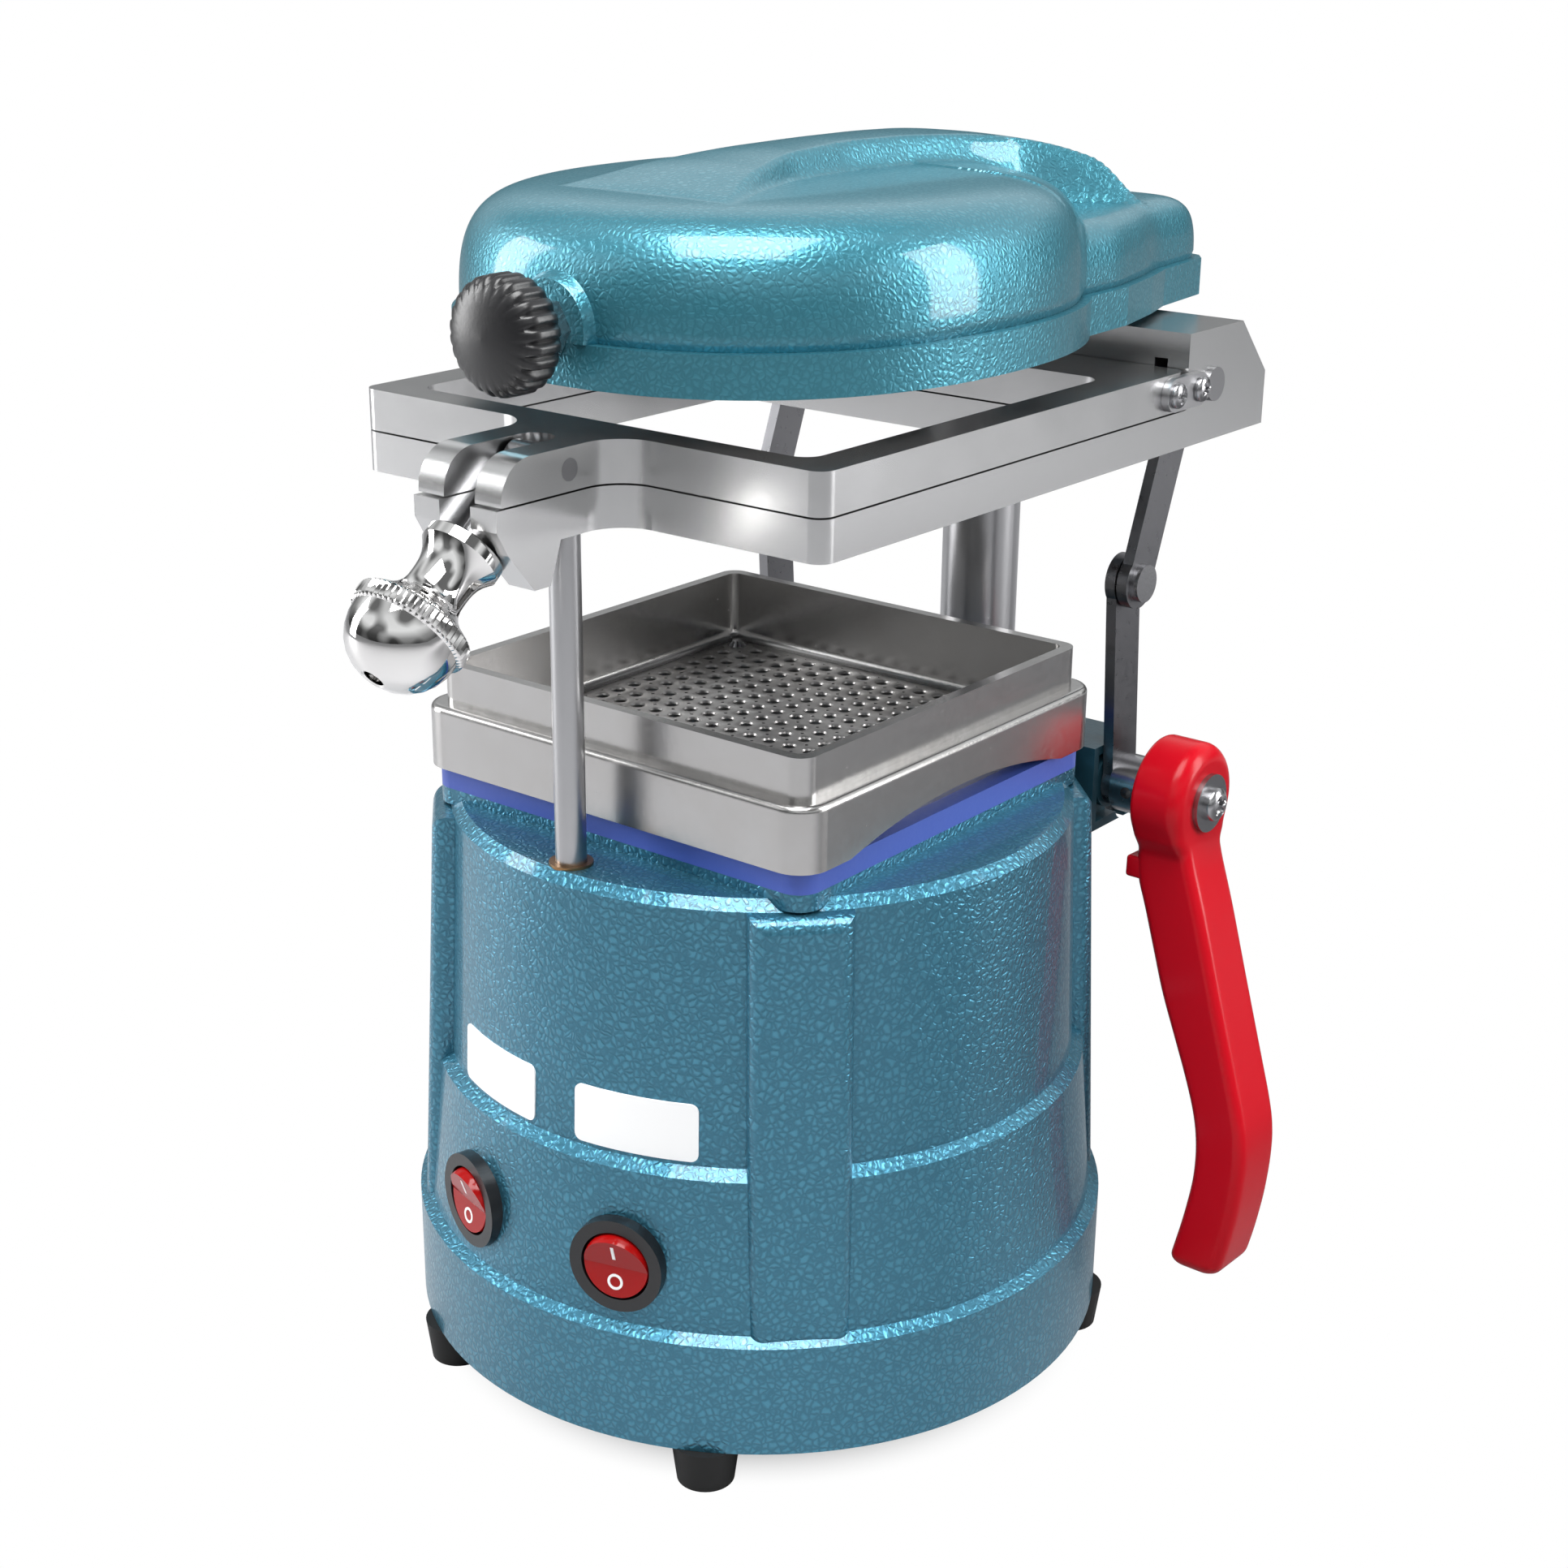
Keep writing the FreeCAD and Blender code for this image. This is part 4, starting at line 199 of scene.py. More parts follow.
def grid_faces(rows, columns, wrap=True):
    """Quads of a grid of points, closed round its columns when wrap is set."""
    last = columns if wrap else columns - 1
    return [(r * columns + c, r * columns + (c + 1) % columns, (r + 1) * columns + (c + 1) % columns,
             (r + 1) * columns + c) for r in range(rows - 1) for c in range(last)]


def sheet_faces(rows, columns, wrap=False, start=0):
    """Faces of a thin closed sheet: a grid of front points, and the back points behind it in the same order."""
    front = grid_faces(rows, columns, wrap)
    count, last = rows * columns, (rows - 1) * columns
    if wrap:
        edges = [(c, (c + 1) % columns) for c in range(columns)]
        edges += [(last + (c + 1) % columns, last + c) for c in range(columns)]
    else:
        rim = [*range(columns), *(r * columns + columns - 1 for r in range(1, rows)),
               *range(last + columns - 2, last - 1, -1), *(r * columns for r in range(rows - 2, 0, -1))]
        edges = list(zip(rim, rim[1:] + rim[:1]))
    faces = front + [tuple(count + i for i in reversed(f)) for f in front]
    faces += [(b, a, count + a, count + b) for a, b in edges]
    return [tuple(start + i for i in f) for f in faces]


def turned_points(profile, steps, change=None):
    """Points of a profile (radius, height) turned about Z: (r cos t, r sin t, z). change gives a radius
    factor for a point and an angle."""
    angles = np.linspace(0, 2 * np.pi, steps, endpoint=False)
    rows = []
    for index, (radius, height) in enumerate(profile):
        scale = 1.0 if change is None else change(index, angles)
        rows.append(np.stack([radius * scale * np.cos(angles), radius * scale * np.sin(angles),
                              np.full(steps, float(height))], axis=1))
    return np.concatenate(rows)


def aim(points, origin, direction):
    """Turns points built along +Z to a direction and moves them to an origin."""
    turn = np.array(Vector((0, 0, 1)).rotation_difference(Vector(direction)).to_matrix())
    return np.asarray(points) @ turn.T + np.array(origin)


# Perforated floor: a square cell with a countersunk hole, repeated over the grid
def perforated_floor():
    """Cells of pitch p: 16 points on the square's edge, then 16 points on circles r (cos t, sin t) down the hole.
    rings are the hole's (radius, height) from the countersink's edge to the underside."""
    pitch, sides, count = 6.3, 16, 16
    whole_from = 89.2  # |x| + |y| from which a cell has no hole, because a corner screw sits there
    rings = [(2.15, 168.0), (1.95, 167.93), (1.62, 167.5), (1.62, 166.4)]
    half, top, bottom = 52.45, 168.0, 166.4
    reach = pitch * count / 2
    angles = (np.arange(sides) + 0.5) * 2 * np.pi / sides
    square = np.stack([np.clip(np.cos(angles) * 1.5, -1, 1), np.clip(np.sin(angles) * 1.5, -1, 1)], axis=1)
    verts, faces = [], []
    for i in range(count):
        for j in range(count):
            x, y = (i + 0.5) * pitch - reach, (j + 0.5) * pitch - reach
            start = len(verts)
            verts += [(x + px * pitch / 2, y + py * pitch / 2, top) for px, py in square]
            if abs(x) + abs(y) > whole_from:
                verts.append((x, y, top))
                faces += [(start + k, start + (k + 1) % sides, start + sides) for k in range(sides)]
                continue
            for radius, z in rings:
                verts += [(x + radius * math.cos(t), y + radius * math.sin(t), z) for t in angles]
            for row in range(len(rings)):
                near, far = start + row * sides, start + (row + 1) * sides
                faces += [(near + k, near + (k + 1) % sides, far + (k + 1) % sides, far + k) for k in range(sides)]
    start = len(verts)
    for z in (top, bottom):
        for size in (reach, half):
            verts += [(sx * size, sy * size, z) for sx, sy in ((-1, -1), (1, -1), (1, 1), (-1, 1))]
    for k in range(4):
        n = (k + 1) % 4
        faces.append((start + 4 + k, start + 4 + n, start + n, start + k))
        faces.append((start + 4 + n, start + 4 + k, start + 12 + k, start + 12 + n))
        faces.append((start + 12 + n, start + 12 + k, start + 8 + k, start + 8 + n))
    return verts, faces


make_piece("perforated_floor", *perforated_floor(), "base", "tray_aluminium", ["perforated_plate"],
           material="floor_plate")

# Clamp knob: a turned profile whose ring has sixty flutes
DIP = math.radians(38.5)
BOLT = (0, -math.cos(DIP), -math.sin(DIP))
PIVOT = (0, -83.7, 250.8)
FLUTE_STEPS = 240


def knob_profile():
    """Collar, concave waist, fluted ring, dome and the dimple in its end, as (radius, distance)."""
    points = [(3.25, 25.2), (9.0, 25.2), (9.4, 25.6), (9.4, 28.2), (9.0, 28.7)]
    points += [(6.8 + 2.1 * (1 - math.sin(math.pi * k / 10)) ** 1.6 if k < 5 else
                6.8 + 5.6 * (1 - math.sin(math.pi * k / 10)) ** 1.5, 28.7 + 16.0 * k / 10) for k in range(1, 10)]
    points += [(12.9, 44.9), (13.6, 45.3), (14.0, 45.8), (14.0, 48.7), (13.6, 49.3), (12.9, 49.6)]
    points += [(12.9 * math.cos(a) ** 0.9, 49.6 + 12.4 * math.sin(a)) for a in np.radians([12, 25, 38, 50, 62, 72])]
    points += [(2.9, 61.95), (2.4, 61.6), (2.3, 59.2), (0.01, 58.8)]
    return points


profile = knob_profile()
ring_rows = {i for i, (r, s) in enumerate(profile) if r > 13.5}
knob_points = turned_points(profile, FLUTE_STEPS,
                            lambda i, a: 1 - (0.018 * (1 - np.cos(60 * a)) if i in ring_rows else 0))
make_piece("fluted_clamp_knob", aim(knob_points, PIVOT, BOLT), grid_faces(len(profile), FLUTE_STEPS), "knob",
           "chrome", ["clamp_knob"])

# Heater's knob: a turned profile with fluted side and domed face
GRIP_STEPS = 288
GRIP_BASE = (0, -82.0, 279.3)
GRIP = [(4.0, 0.3), (6.6, 0.0), (8.0, 0.5), (11.6, 2.6), (12.7, 3.6), (13.2, 4.6), (13.25, 6.0), (13.25, 9.6),
        (13.1, 10.8), (12.5, 11.9), (11.4, 12.9), (9.6, 13.7), (7.0, 14.35), (3.6, 14.85), (0.02, 15.0)]


def grip_flutes(index, angles):
    """Twenty-four flutes: 1 - d (1/2 + 1/2 cos 24 t)^3, full on the side and gone on the face."""
    depth = 0.085 * min(1.0, max(0.0, (GRIP[index][0] - 10.9) / 1.8)) * (1.0 if 2 < index < 12 else 0.0)
    return 1 - depth * (0.5 + 0.5 * np.cos(24 * angles)) ** 3


grip_points = aim(turned_points(GRIP, GRIP_STEPS, grip_flutes), GRIP_BASE, (0, -1, 0))
grip_faces = grid_faces(len(GRIP), GRIP_STEPS) + [tuple(range(GRIP_STEPS - 1, -1, -1))]
make_piece("fluted_heater_knob", grip_points, grip_faces, "heater", "black_plastic", ["heater_knob"])


# Bare plates over the switches, bent round the drum
def drum_radius(z):
    """Radius of the drum's painted wall at a height."""
    return float(np.interp(z, [42.6, 82.3, 84.5, 149.5, 152.0], [89.5, 86.0, 83.0, 80.5, 80.3]))


def bent_plate(name, start, end, low, high, corner=2.0, thick=0.35):
    """Rounded rectangle wrapped on the drum from azimuth start to end, in degrees, and from height low to high:
    (r cos a, r sin a, z) with r = R(z) + thickness, or less what is sunk in the wall."""
    ends = corner * (1 - np.cos(np.linspace(0, np.pi / 2, 7)))
    heights = [*(low + ends), (low + high) / 2, *(high - ends[::-1])]
    columns, sunk = 24, 0.3
    verts = []
    for layer in (thick, -sunk):
        for z in heights:
            near = max(0.0, corner - min(z - low, high - z))
            inset = corner - math.sqrt(max(0.0, corner ** 2 - near ** 2))
            wide = (end - start) * math.radians(1) * drum_radius(z)
            for c in range(columns):
                share = (inset + (wide - 2 * inset) * c / (columns - 1)) / wide
                a = math.radians(start + (end - start) * share)
                radius = drum_radius(z) + layer
                verts.append((radius * math.cos(a), radius * math.sin(a), z))
    make_piece(name, verts, sheet_faces(len(heights), columns), "base", "teal_paint", material="white_mark")


bent_plate("bare_plate_left", -115.0, -93.0, 85.6, 100.5)
bent_plate("bare_plate_right", -84.0, -61.5, 85.6, 100.5)

# Heater cover: one cast shell with dome, spine and rear lobe. The seam's height, the dome's half width and half
# length, its middle and the lobe's end; then the rim's half width and half length and the three rises
SEAM, HEAD_A, HEAD_B, HEAD_MID, HEAD_BACK = 276.5, 67.6, 78.9, 4.5, 137.2
RIM_HALF, RIM_LONG, DOME_RISE, SHELF_RISE, SPINE_RISE = 69.4, 80.7, 29.5, 17.0, 36.5

# Shares along the cover, then of the rim's half width and, for the spine, of its rise
SPINE = np.array([(-0.9, 0.52, 0.0), (-0.77, 0.47, 0.66), (-0.62, 0.37, 0.8), (-0.37, 0.25, 0.92),
                  (-0.12, 0.165, 0.98), (0.19, 0.13, 1.0), (0.5, 0.145, 0.995), (0.77, 0.19, 0.97),
                  (0.99, 0.29, 0.92), (1.14, 0.43, 0.83), (1.24, 0.55, 0.7), (1.30, 0.60, 0.3), (1.36, 0.62, 0.0)])
LOBE = np.array([(0.3, 0.84), (0.54, 0.813), (0.68, 0.75), (0.775, 0.692), (0.88, 0.667), (0.95, 0.655),
                 (1.0, 0.65)])


def eased(spots, xs, ys, run):
    """Reads a table of points with its corners eased over a run either side."""
    return sum(np.interp(spots + shift, xs, ys) for shift in np.linspace(-run, run, 7)) / 7


def head_height(x, y):
    """Height over the seam: dome h (1 - q^10)^0.34 (1 - 0.05 q^2) with q^2.3 = |x/a|^2.3 + |y/b|^2.3, met softly by
    the lobe k (1 - |x/w|^14 - |y/c|^30)^0.33, and the spine on top with an S-shaped flank."""
    along = np.abs(y - HEAD_MID) / HEAD_B
    out = ((np.abs(x) / HEAD_A) ** 2.3 + along ** 2.3) ** (1 / 2.3)
    dome = DOME_RISE * np.clip(1 - out ** 10, 0, 1) ** 0.34 * (1 - 0.05 * np.minimum(out, 1) ** 2)
    wide = eased(y / HEAD_BACK, LOBE[:, 0], LOBE[:, 1], 0.03) * RIM_HALF - 1.8
    full = 1 - (np.abs(x) / wide) ** 14 - np.clip(y / HEAD_BACK, 0, 2) ** 30
    shelf = np.where(y > 44, SHELF_RISE * np.clip(full, 0, 1) ** 0.33, 0)
    soft = 0.10 * (dome + shelf) * (np.minimum(dome, shelf) > 0)
    base = (dome + shelf + np.sqrt((dome - shelf) ** 2 + soft ** 2)) / 2
    where = (y - HEAD_MID) / RIM_LONG
    crest = eased(where, SPINE[:, 0], SPINE[:, 1], 0.05) * RIM_HALF
    lift = eased(where, SPINE[:, 0], SPINE[:, 2], 0.06) * SPINE_RISE * (1 - 0.02 * (x / crest) ** 2)
    lift = np.where(base > 8, lift, 0)
    run = 4.2 + 4.0 * np.clip((where - 0.7) / 0.4, 0, 1)
    flank = np.clip((crest + run / 2 + 0.1 - np.abs(x)) / run, 0, 1)
    return base + np.clip(lift - base, 0, None) * flank ** 2 * (3 - 2 * flank)


def cast_cover(rings, inner_rings, steps, wall=2.6):
    """Rays from one point to the outline, spaced r = R sin(pi s / 2), lifted by head_height, with an inner wall.
    The foot is drawn in a little, as a groove over the rim."""
    angles = np.linspace(0, 2 * np.pi, steps, endpoint=False)
    heart, low, high = 22.0, np.full(steps, 20.0), np.full(steps, 150.0)
    for _ in range(40):
        mid = (low + high) / 2
        x, y = mid * np.cos(angles), heart + mid * np.sin(angles)
        inside = head_height(x, y) > 0.05
        low, high = np.where(inside, mid, low), np.where(inside, high, mid)
    layers = []
    for count, inset in ((rings, 0.0), (inner_rings, wall)):
        shares = np.sin(np.pi / 2 * np.linspace(0, 1, count + 1)[1:])[:, None]
        x, y = shares * low * np.cos(angles), shares * low * np.sin(angles)
        z = head_height(x, heart + y)
        z[-1] = 0
        groove = 0.8 * np.clip(1 - z / 0.9, 0, 1) if inset == 0 else 0.0
        shrink = (low - inset - groove) / low
        layers.append(np.stack([x * shrink, heart + y * shrink, SEAM + np.clip(z - inset, 0, None)], axis=2))
    tops = [(0.0, heart, SEAM + float(head_height(np.array(0.0), np.array(heart))) - inset) for inset in (0.0, wall)]
    verts = np.concatenate([layers[0].reshape(-1, 3), layers[1].reshape(-1, 3), np.array(tops)])
    second, end = rings * steps, (rings + inner_rings) * steps
    faces = [(a, d, c, b) for a, b, c, d in grid_faces(rings, steps)]
    faces += [tuple(second + i for i in f) for f in grid_faces(inner_rings, steps)]
    for k in range(steps):
        n = (k + 1) % steps
        faces.append((k, n, end))
        faces.append((second + n, second + k, end + 1))
        faces.append((second - steps + n, second - steps + k, end - steps + k, end - steps + n))
    return verts, faces


cover = cast_cover(150, 20, 520)
make_piece("cast_cover", *cover, "heater", "teal_paint", ["heater_cover"])


def grip_pad():
    """Disc behind the knob's nut with a cove at its root: (r(s) cos t, s, r(s) sin t), cut off at the seam."""
    rows = [(15.0, -64.0), (13.4, -70.6), (12.1, -73.0), (11.3, -74.6), (11.0, -75.8), (10.6, -76.4), (0.01, -76.4)]
    steps = 72
    angles = np.linspace(0, 2 * np.pi, steps, endpoint=False)
    verts = [(radius * math.cos(t), y, max(GRIP_BASE[2] + radius * math.sin(t), SEAM))
             for radius, y in rows for t in angles]
    return verts, grid_faces(len(rows), steps) + [tuple(range(steps - 1, -1, -1))]


make_piece("grip_pad", *grip_pad(), "heater", "teal_paint")


# Cross-head screws: a pan head whose recess is part of its height field
SHAFT_Y, SHAFT_Z = 81.5, 143.3


def cross_screw(origin, direction, head, proud, shank, length, turn=0.0):
    """Rings of a head z = p (0.35 + 0.65 (1 - s^3)^0.5) less a cross of soft-edged arms, then the rim and the
    shank. head and shank are radii, proud and length run out of and into the wall."""
    steps, rings = 72, 22
    angles = np.linspace(0, 2 * np.pi, steps, endpoint=False)
    verts = [(0.0, 0.0, proud * 0.45)]
    for s in np.sin(np.pi / 2 * np.linspace(0, 1, rings + 1)[1:]):
        x, y = s * np.cos(angles - turn), s * np.sin(angles - turn)
        arm = np.maximum(*(np.clip((0.20 - np.abs(wide)) / 0.07, 0, 1) * np.clip((0.62 - np.abs(along)) / 0.12, 0, 1)
                           for wide, along in ((y, x), (x, y))))
        z = proud * (0.35 + 0.65 * (1 - s ** 3) ** 0.5) - arm * proud * 0.55
        verts += list(zip(head * s * np.cos(angles), head * s * np.sin(angles), z))
    for radius, z in ((head, 0.0), (shank, 0.0), (shank, -length)):
        verts += [(radius * math.cos(t), radius * math.sin(t), z) for t in angles]
    rows = rings + 3
    faces = [(0, 1 + k, 1 + (k + 1) % steps) for k in range(steps)]
    faces += [tuple(1 + i for i in (a, d, c, b)) for a, b, c, d in grid_faces(rows, steps)]
    faces.append(tuple(1 + (rows - 1) * steps + k for k in range(steps - 1, -1, -1)))
    return aim(verts, origin, direction), faces


def joined(*parts):
    """One mesh of several."""
    verts, faces = [], []
    for points, polygons in parts:
        faces += [tuple(len(verts) + i for i in f) for f in polygons]
        verts += list(points)
    return verts, faces


for node, body, y, face, proud, turn in (("strap_screws", "sheet_clamp", 75.0, 72.05, 2.0, 0.4),
                                         ("pivot_screws", "carriage", 87.0, 72.1, 2.0, 1.1)):
    pair = joined(*[cross_screw((side * face, y, 251.0), (side, 0, 0), 3.25, proud, 1.55, 8.0, turn + side)
                    for side in (1, -1)])
    make_piece(f"cross_{node}", *pair, body, "steel", [node])
make_piece("cross_handle_screw", *cross_screw((86.9, SHAFT_Y, SHAFT_Z), (1, 0, 0), 4.6, 3.1, 1.85, 10.3, 0.5),
           "lever", "steel", ["handle_screw"])

# The cast lever, built upright round its hub's axis and leaned afterwards. The tables give the x of its outer and
# inner faces at heights from the axis
HUB_RADIUS, ARM_DEPTH, ARM_END, ARM_END_ROUND = 15.5, 9.9, -127.5, 4.0
LEAN = math.radians(2.6)
LEVER_OUTER = [(-132.0, 106.2), (-121.9, 108.6), (-109.7, 110.5), (-98.3, 111.3), (-89.3, 111.0), (-81.9, 109.2),
               (-66.7, 104.2), (-48.3, 98.2), (-28.9, 92.0), (-14.3, 86.8), (-8.3, 85.5), (20.0, 85.5)]
LEVER_INNER = [(-132.0, 91.0), (-128.3, 91.8), (-116.9, 94.3), (-105.0, 96.2), (-101.3, 96.4), (-93.3, 96.2),
               (-85.0, 94.6), (-75.1, 91.0), (-52.7, 81.5), (-28.1, 73.4), (-21.3, 70.6), (20.0, 70.5)]


def welded(verts, faces):
    """Joins points that fall together and drops the faces that close up."""
    seen, place, kept, left = {}, [], [], []
    for v in verts:
        key = tuple(int(round(c * 2000)) for c in v)
        if key not in seen:
            seen[key] = len(kept)
            kept.append(tuple(v))
        place.append(seen[key])
    for face in faces:
        ring = [place[i] for i in face]
        ring = [a for a, b in zip(ring, ring[1:] + ring[:1]) if a != b]
        if len(ring) > 2 and len(set(ring)) == len(ring):
            left.append(tuple(ring))
    return kept, left


def round_bar(start, end, middle, half, corner):
    """Rounded rectangles c + (h - r) sign + r (cos t, sin t), stacked along X, with the ends drawn in."""
    verts, turns = [], np.linspace(0, np.pi / 2, 5)
    stations = [(start + corner * (1 - math.cos(t)), corner * (1 - math.sin(t))) for t in turns]
    stations += [(end - corner * (1 - math.cos(t)), corner * (1 - math.sin(t))) for t in turns[::-1]]
    for x, small in stations:
        for quarter in range(4):
            for t in turns:
                angle = t + quarter * np.pi / 2
                sy = 1 if quarter in (0, 3) else -1
                sz = 1 if quarter in (0, 1) else -1
                verts.append((x, middle[0] + sy * (half[0] - corner) + (corner - small) * math.cos(angle),
                              middle[1] + sz * (half[1] - corner) + (corner - small) * math.sin(angle)))
    columns = 4 * len(turns)
    faces = grid_faces(len(stations), columns)
    faces.append(tuple(range(columns - 1, -1, -1)))
    faces.append(tuple((len(stations) - 1) * columns + k for k in range(columns)))
    return welded(verts, faces)


def lever_half(z, a, arm, small, hub_round, arm_round):
    """Half depth of the lever at a height z and a turn a of an edge's rounding: the hub's half chord
    ((R - r + r cos a)^2 - z^2)^0.5 and the arm's w - q + q cos a meet as the fifth root of the sum of their fifth
    powers."""
    chord = np.sqrt(np.maximum((HUB_RADIUS - hub_round + hub_round * np.cos(a)) ** 2 - z * z, 0))
    flat = arm * (ARM_DEPTH - small - arm_round + arm_round * np.cos(a))
    return (chord ** 5 + flat ** 5) ** 0.2


def lever_body(steps=9, run=4.0):
    """Level sections of the lever at heights z, from the hub's top to the arm's rounded end."""
    heights = list(HUB_RADIUS * np.cos(np.linspace(0, np.pi / 2, 20)))
    heights += list(np.linspace(0, -32, 40)[1:]) + list(np.linspace(-32, ARM_END, 60)[1:])
    inset = [0.0] * len(heights)
    for t in np.linspace(0, np.pi / 2, 9)[1:]:
        heights.append(ARM_END - ARM_END_ROUND * math.sin(t))
        inset.append(ARM_END_ROUND * (1 - math.cos(t)))
    outer_table, inner_table = np.array(LEVER_OUTER), np.array(LEVER_INNER)
    rows = []
    for z, small in zip(heights, inset):
        level = np.array([z])
        outer = float(eased(level, outer_table[:, 0], outer_table[:, 1], run)[0]) - small
        inner = float(eased(level, inner_table[:, 0], inner_table[:, 1], run)[0]) + small
        arm = np.clip((-3.0 - z) / 7.0, 0, 1)
        arm = arm * arm * (3 - 2 * arm)
        sides = []  # each face with the rounding of its edges at the hub and on the arm
        for face, sign, hub_round, arm_round in ((outer, 1, 4.6, 3.2), (inner, -1, 1.6, 2.8)):
            reach = np.pi / 2 if z < 0 else math.acos(min(max((z - HUB_RADIUS + hub_round) / hub_round, 0.0), 1.0))
            a = np.linspace(reach, 0, steps)
            x = face - sign * (hub_round + (arm_round - hub_round) * arm) * (1 - np.sin(a))
            y = lever_half(z, a, arm, small, hub_round, arm_round)
            sides.append([(x[0], y[0] * k / 4) for k in range(4)] + list(zip(x, y)))
        (ax, ay), (bx, by) = sides[0][-1], sides[1][-1]
        middle = [(ax + (bx - ax) * k / 6, ay + (by - ay) * k / 6) for k in range(1, 6)]
        outline = sides[0] + middle + sides[1][::-1]
        outline += [(x, -y) for x, y in outline[-2:0:-1]]
        rows.append([(x, y, z) for x, y in outline])
    columns = len(rows[0])
    faces = [tuple(reversed(f)) for f in grid_faces(len(rows), columns)]
    faces.append(tuple((len(rows) - 1) * columns + k for k in range(columns - 1, -1, -1)))
    return welded([point for row in rows for point in row], faces)


STOP = round_bar(67.9, 73.5, (-6.2, -19.7), (3.3, 3.0), 0.9)  # the small stop under the hub
lever_verts, lever_faces = joined(lever_body(), STOP)
lever_verts = [(x, SHAFT_Y + y * math.cos(LEAN) + z * math.sin(LEAN),
                SHAFT_Z - y * math.sin(LEAN) + z * math.cos(LEAN)) for x, y, z in lever_verts]
make_piece("cast_lever", lever_verts, lever_faces, "lever", "red_plastic", ["handle_lever"])


# I and O on the rockers, laid on their faces
def laid_on(node, azimuth, shapes, height=58.0, lift=0.12, sink=0.3):
    """Closed thin strips whose points are dropped on a node's face along the switch's axis, from outside the drum.
    A point that misses is set 92 mm from the drum's axis, about where the face is."""
    outside, near_face = 130.0, 92.0
    obj = NODES[node]
    out = Vector((math.cos(azimuth), math.sin(azimuth), 0))
    side = Vector((-out.y, out.x, 0))
    inverse = obj.matrix_world.inverted()
    verts, faces = [], []
    for rows, columns, wrap, points in shapes:
        start = len(verts)
        for layer in (lift, -sink):
            for u, v in points:
                far = (out * outside + side * u + Vector((0, 0, height + v))) * MM
                hit, spot, _, _ = obj.ray_cast(inverse @ far, (inverse.to_3x3() @ -out).normalized())
                spot = obj.matrix_world @ spot if hit else far - out * (outside - near_face) * MM
                verts.append(tuple(spot / MM + out * layer))
        faces += sheet_faces(rows, columns, wrap, start)
    return verts, faces


bar_points = [(u, v) for v in np.linspace(2.2, 6.1, 7) for u in (-0.4, 0.4)]
ring_points = [(r * math.cos(t), -4.2 + r * math.sin(t)) for r in (2.05, 1.4)
               for t in np.linspace(0, 2 * np.pi, 36, endpoint=False)]
bpy.context.view_layer.update()
for side, azimuth in (("right", -74.0), ("left", -106.0)):
    marks = laid_on(f"rocker_{side}", math.radians(azimuth), [(7, 2, False, bar_points), (2, 36, True, ring_points)])
    make_piece(f"on_off_marks_{side}", *marks, f"switch_{side}", "red_rocker", material="white_mark")

# Stage and light
WHITE = (1, 1, 1, 1)


def studio_floor():
    """Floor that a camera ray sees as white, with its shade only under the object. Other rays see it grey, with a
    dark patch behind on the right, which the metal reflects."""
    mesh = bpy.data.meshes.new("studio_floor")
    mesh.from_pydata([(-6, -6, 0), (6, -6, 0), (6, 6, 0), (-6, 6, 0)], [], [(0, 1, 2, 3)])
    floor = bpy.data.objects.new("studio_floor", mesh)
    scene.collection.objects.link(floor)
    mat = bpy.data.materials.new("studio_floor")
    mat.use_nodes = True
    tree = mat.node_tree
    bsdf = tree.nodes["Principled BSDF"]
    bsdf.inputs["Roughness"].default_value = 0.6
    seen = tree.nodes.new("ShaderNodeLightPath").outputs["Is Camera Ray"]
    place = tree.nodes.new("ShaderNodeTexCoord").outputs["Object"]
    away = node_of(tree, "ShaderNodeVectorMath", {"operation": "DISTANCE"}, (place, (0.36, 0.40, 0.0)))
    patch = mixed_color(tree, spread(tree, away.outputs["Value"], 0.22, 0.60, eased_ends=True),
                        (0.05, 0.05, 0.055, 1), (0.42, 0.42, 0.43, 1))
    tree.links.new(mixed_color(tree, seen, patch, (0.90, 0.90, 0.90, 1)), bsdf.inputs["Base Color"])
    glow = node_of(tree, "ShaderNodeEmission", Color=WHITE, Strength=1.0)
    length = node_of(tree, "ShaderNodeVectorMath", {"operation": "LENGTH"}, (place,))
    fade = spread(tree, length.outputs["Value"], 0.060, 0.092, eased_ends=True)
    shown = node_of(tree, "ShaderNodeMath", {"operation": "MULTIPLY"}, (fade, seen))
    mix = node_of(tree, "ShaderNodeMixShader", None,
                  (shown.outputs["Value"], bsdf.outputs["BSDF"], glow.outputs["Emission"]))
    tree.links.new(mix.outputs["Shader"], tree.nodes["Material Output"].inputs["Surface"])
    mesh.materials.append(mat)


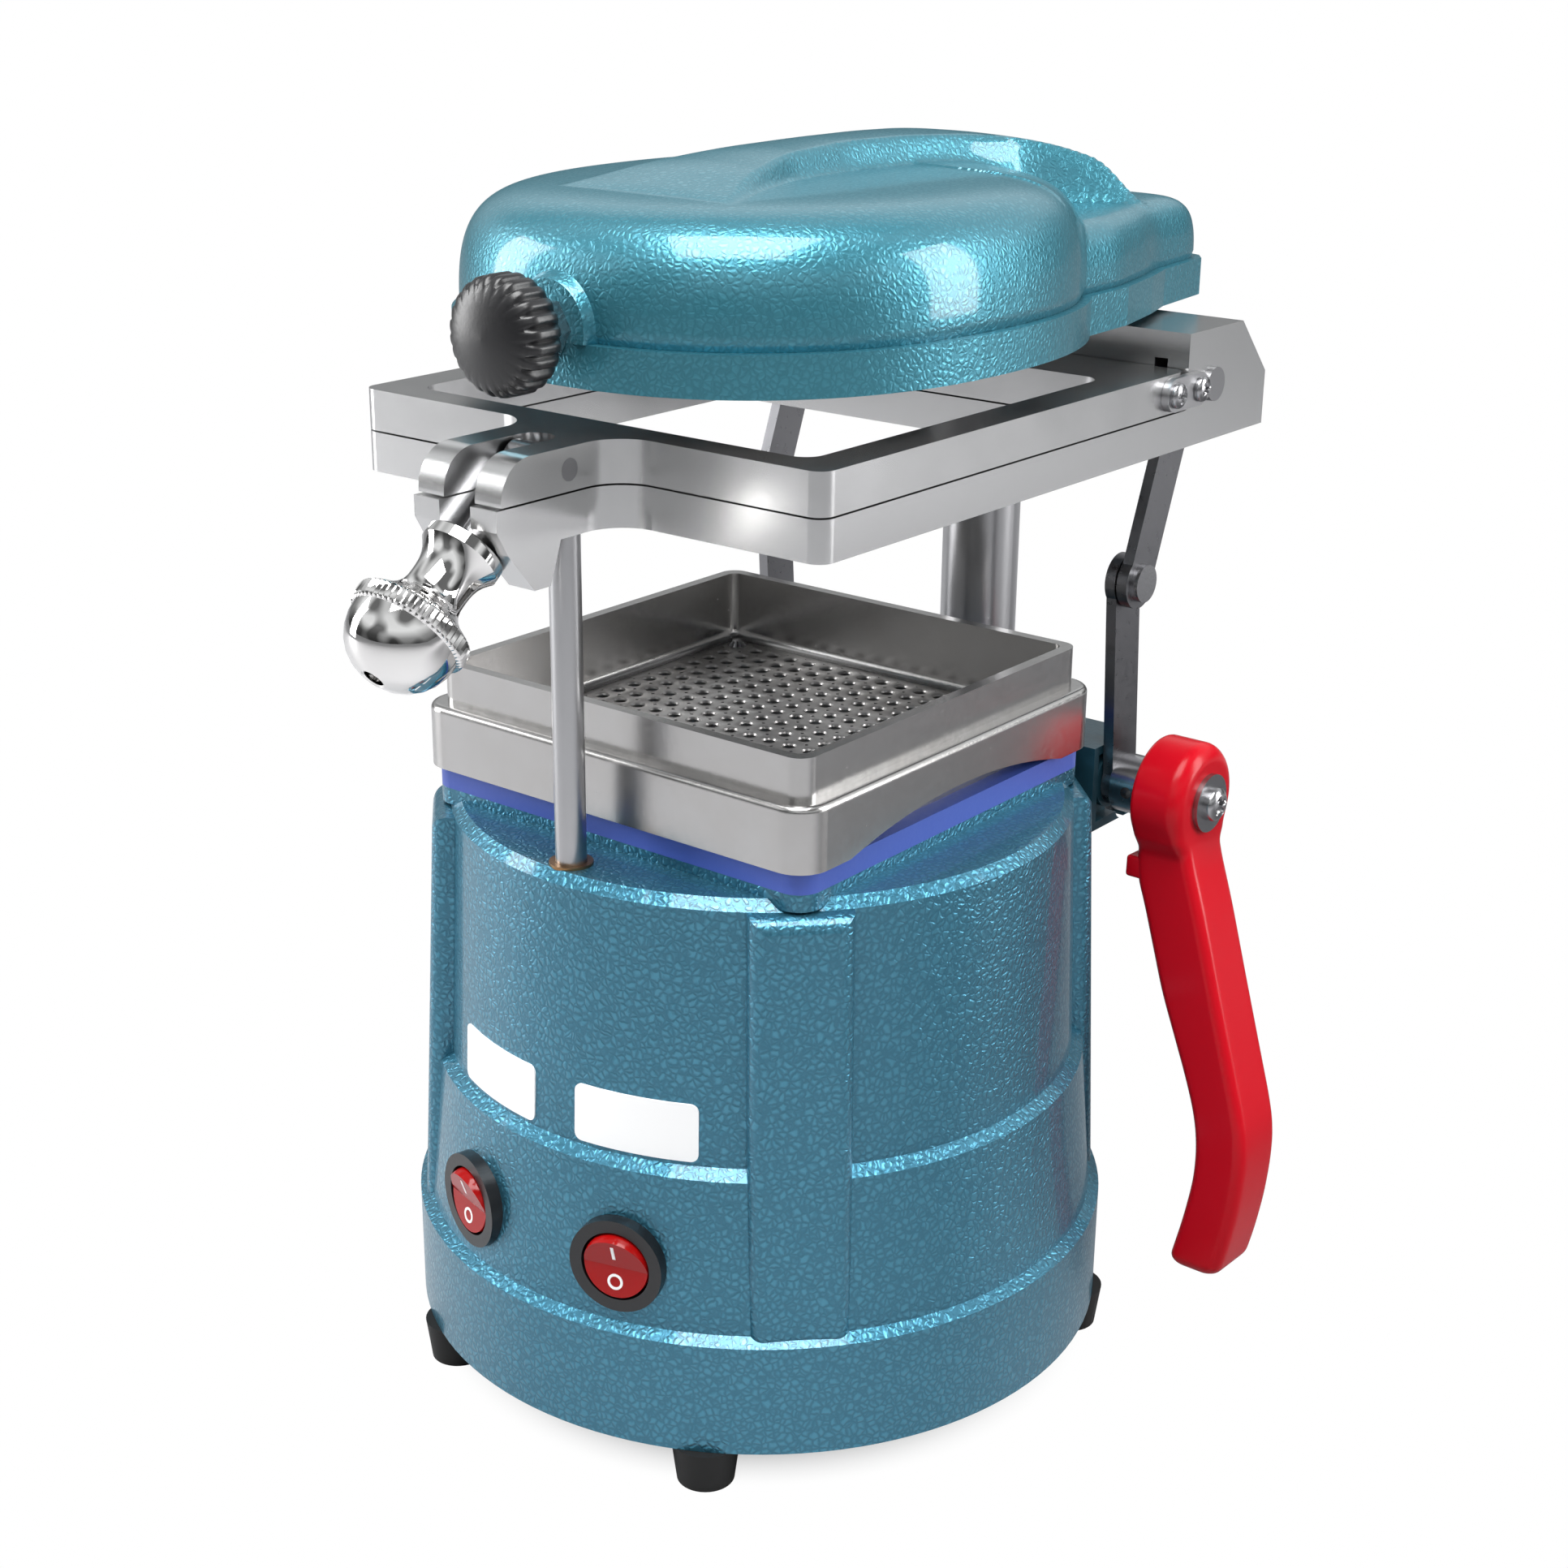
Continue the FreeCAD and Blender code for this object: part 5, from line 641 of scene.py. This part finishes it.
def studio_world():
    """White to the camera. It lights the object by a ramp from floor to sky, broken into soft bands."""
    world = bpy.data.worlds.new("studio")
    scene.world = world
    world.use_nodes = True
    tree = world.node_tree
    tree.nodes.clear()
    around = tree.nodes.new("ShaderNodeTexCoord").outputs["Generated"]
    parts = node_of(tree, "ShaderNodeSeparateXYZ", Vector=around)
    ramp = node_of(tree, "ShaderNodeValToRGB", Fac=spread(tree, parts.outputs["Z"], low=-1.0))
    stops = ramp.color_ramp.elements
    for place, shade in ((0.0, 0.55), (0.40, 0.42), (0.50, 0.18), (0.58, 0.34), (0.70, 0.95), (1.0, 0.80)):
        stop = stops[0] if place == 0 else stops[-1] if place == 1.0 else stops.new(place)
        stop.color = (shade * 0.97, shade * 0.99, shade, 1)
    bands = node_of(tree, "ShaderNodeTexNoise", Vector=around, Scale=1.9, Detail=0.0)
    lit = node_of(tree, "ShaderNodeBackground", Color=ramp.outputs["Color"],
                  Strength=spread(tree, bands.outputs["Fac"], 0.38, 0.62, 0.20, 1.05))
    seen = node_of(tree, "ShaderNodeBackground", Color=WHITE)
    rays = tree.nodes.new("ShaderNodeLightPath")
    mix = node_of(tree, "ShaderNodeMixShader", None,
                  (rays.outputs["Is Camera Ray"], lit.outputs["Background"], seen.outputs["Background"]))
    output = tree.nodes.new("ShaderNodeOutputWorld")
    tree.links.new(mix.outputs["Shader"], output.inputs["Surface"])


def softbox(name, place, target, size, power):
    """Rectangular area light aimed at a point."""
    data = bpy.data.lights.new(name, "AREA")
    data.shape = "RECTANGLE"
    data.size, data.size_y = size
    data.energy = power
    obj = bpy.data.objects.new(name, data)
    scene.collection.objects.link(obj)
    away = Vector(place) - Vector(target)
    obj.matrix_world = Matrix.Translation(place) @ away.to_track_quat("Z", "Y").to_matrix().to_4x4()
    return obj


studio_floor()
studio_world()
softbox("left_strip", (-1.05, -0.55, 0.50), (0, 0, 0.18), (0.40, 0.9), 12.5)
softbox("right_strip", (0.95, 0.66, 0.55), (0, 0, 0.18), (0.40, 0.9), 13.0)
softbox("top", (0.16, -0.28, 1.2), (0, 0, 0.1), (0.75, 0.75), 23.0)
front = softbox("front", (0.45, -1.25, 0.95), (0, 0, 0.15), (1.3, 0.9), 3.6)
front.visible_glossy = False
scene.view_settings.view_transform = "Standard"
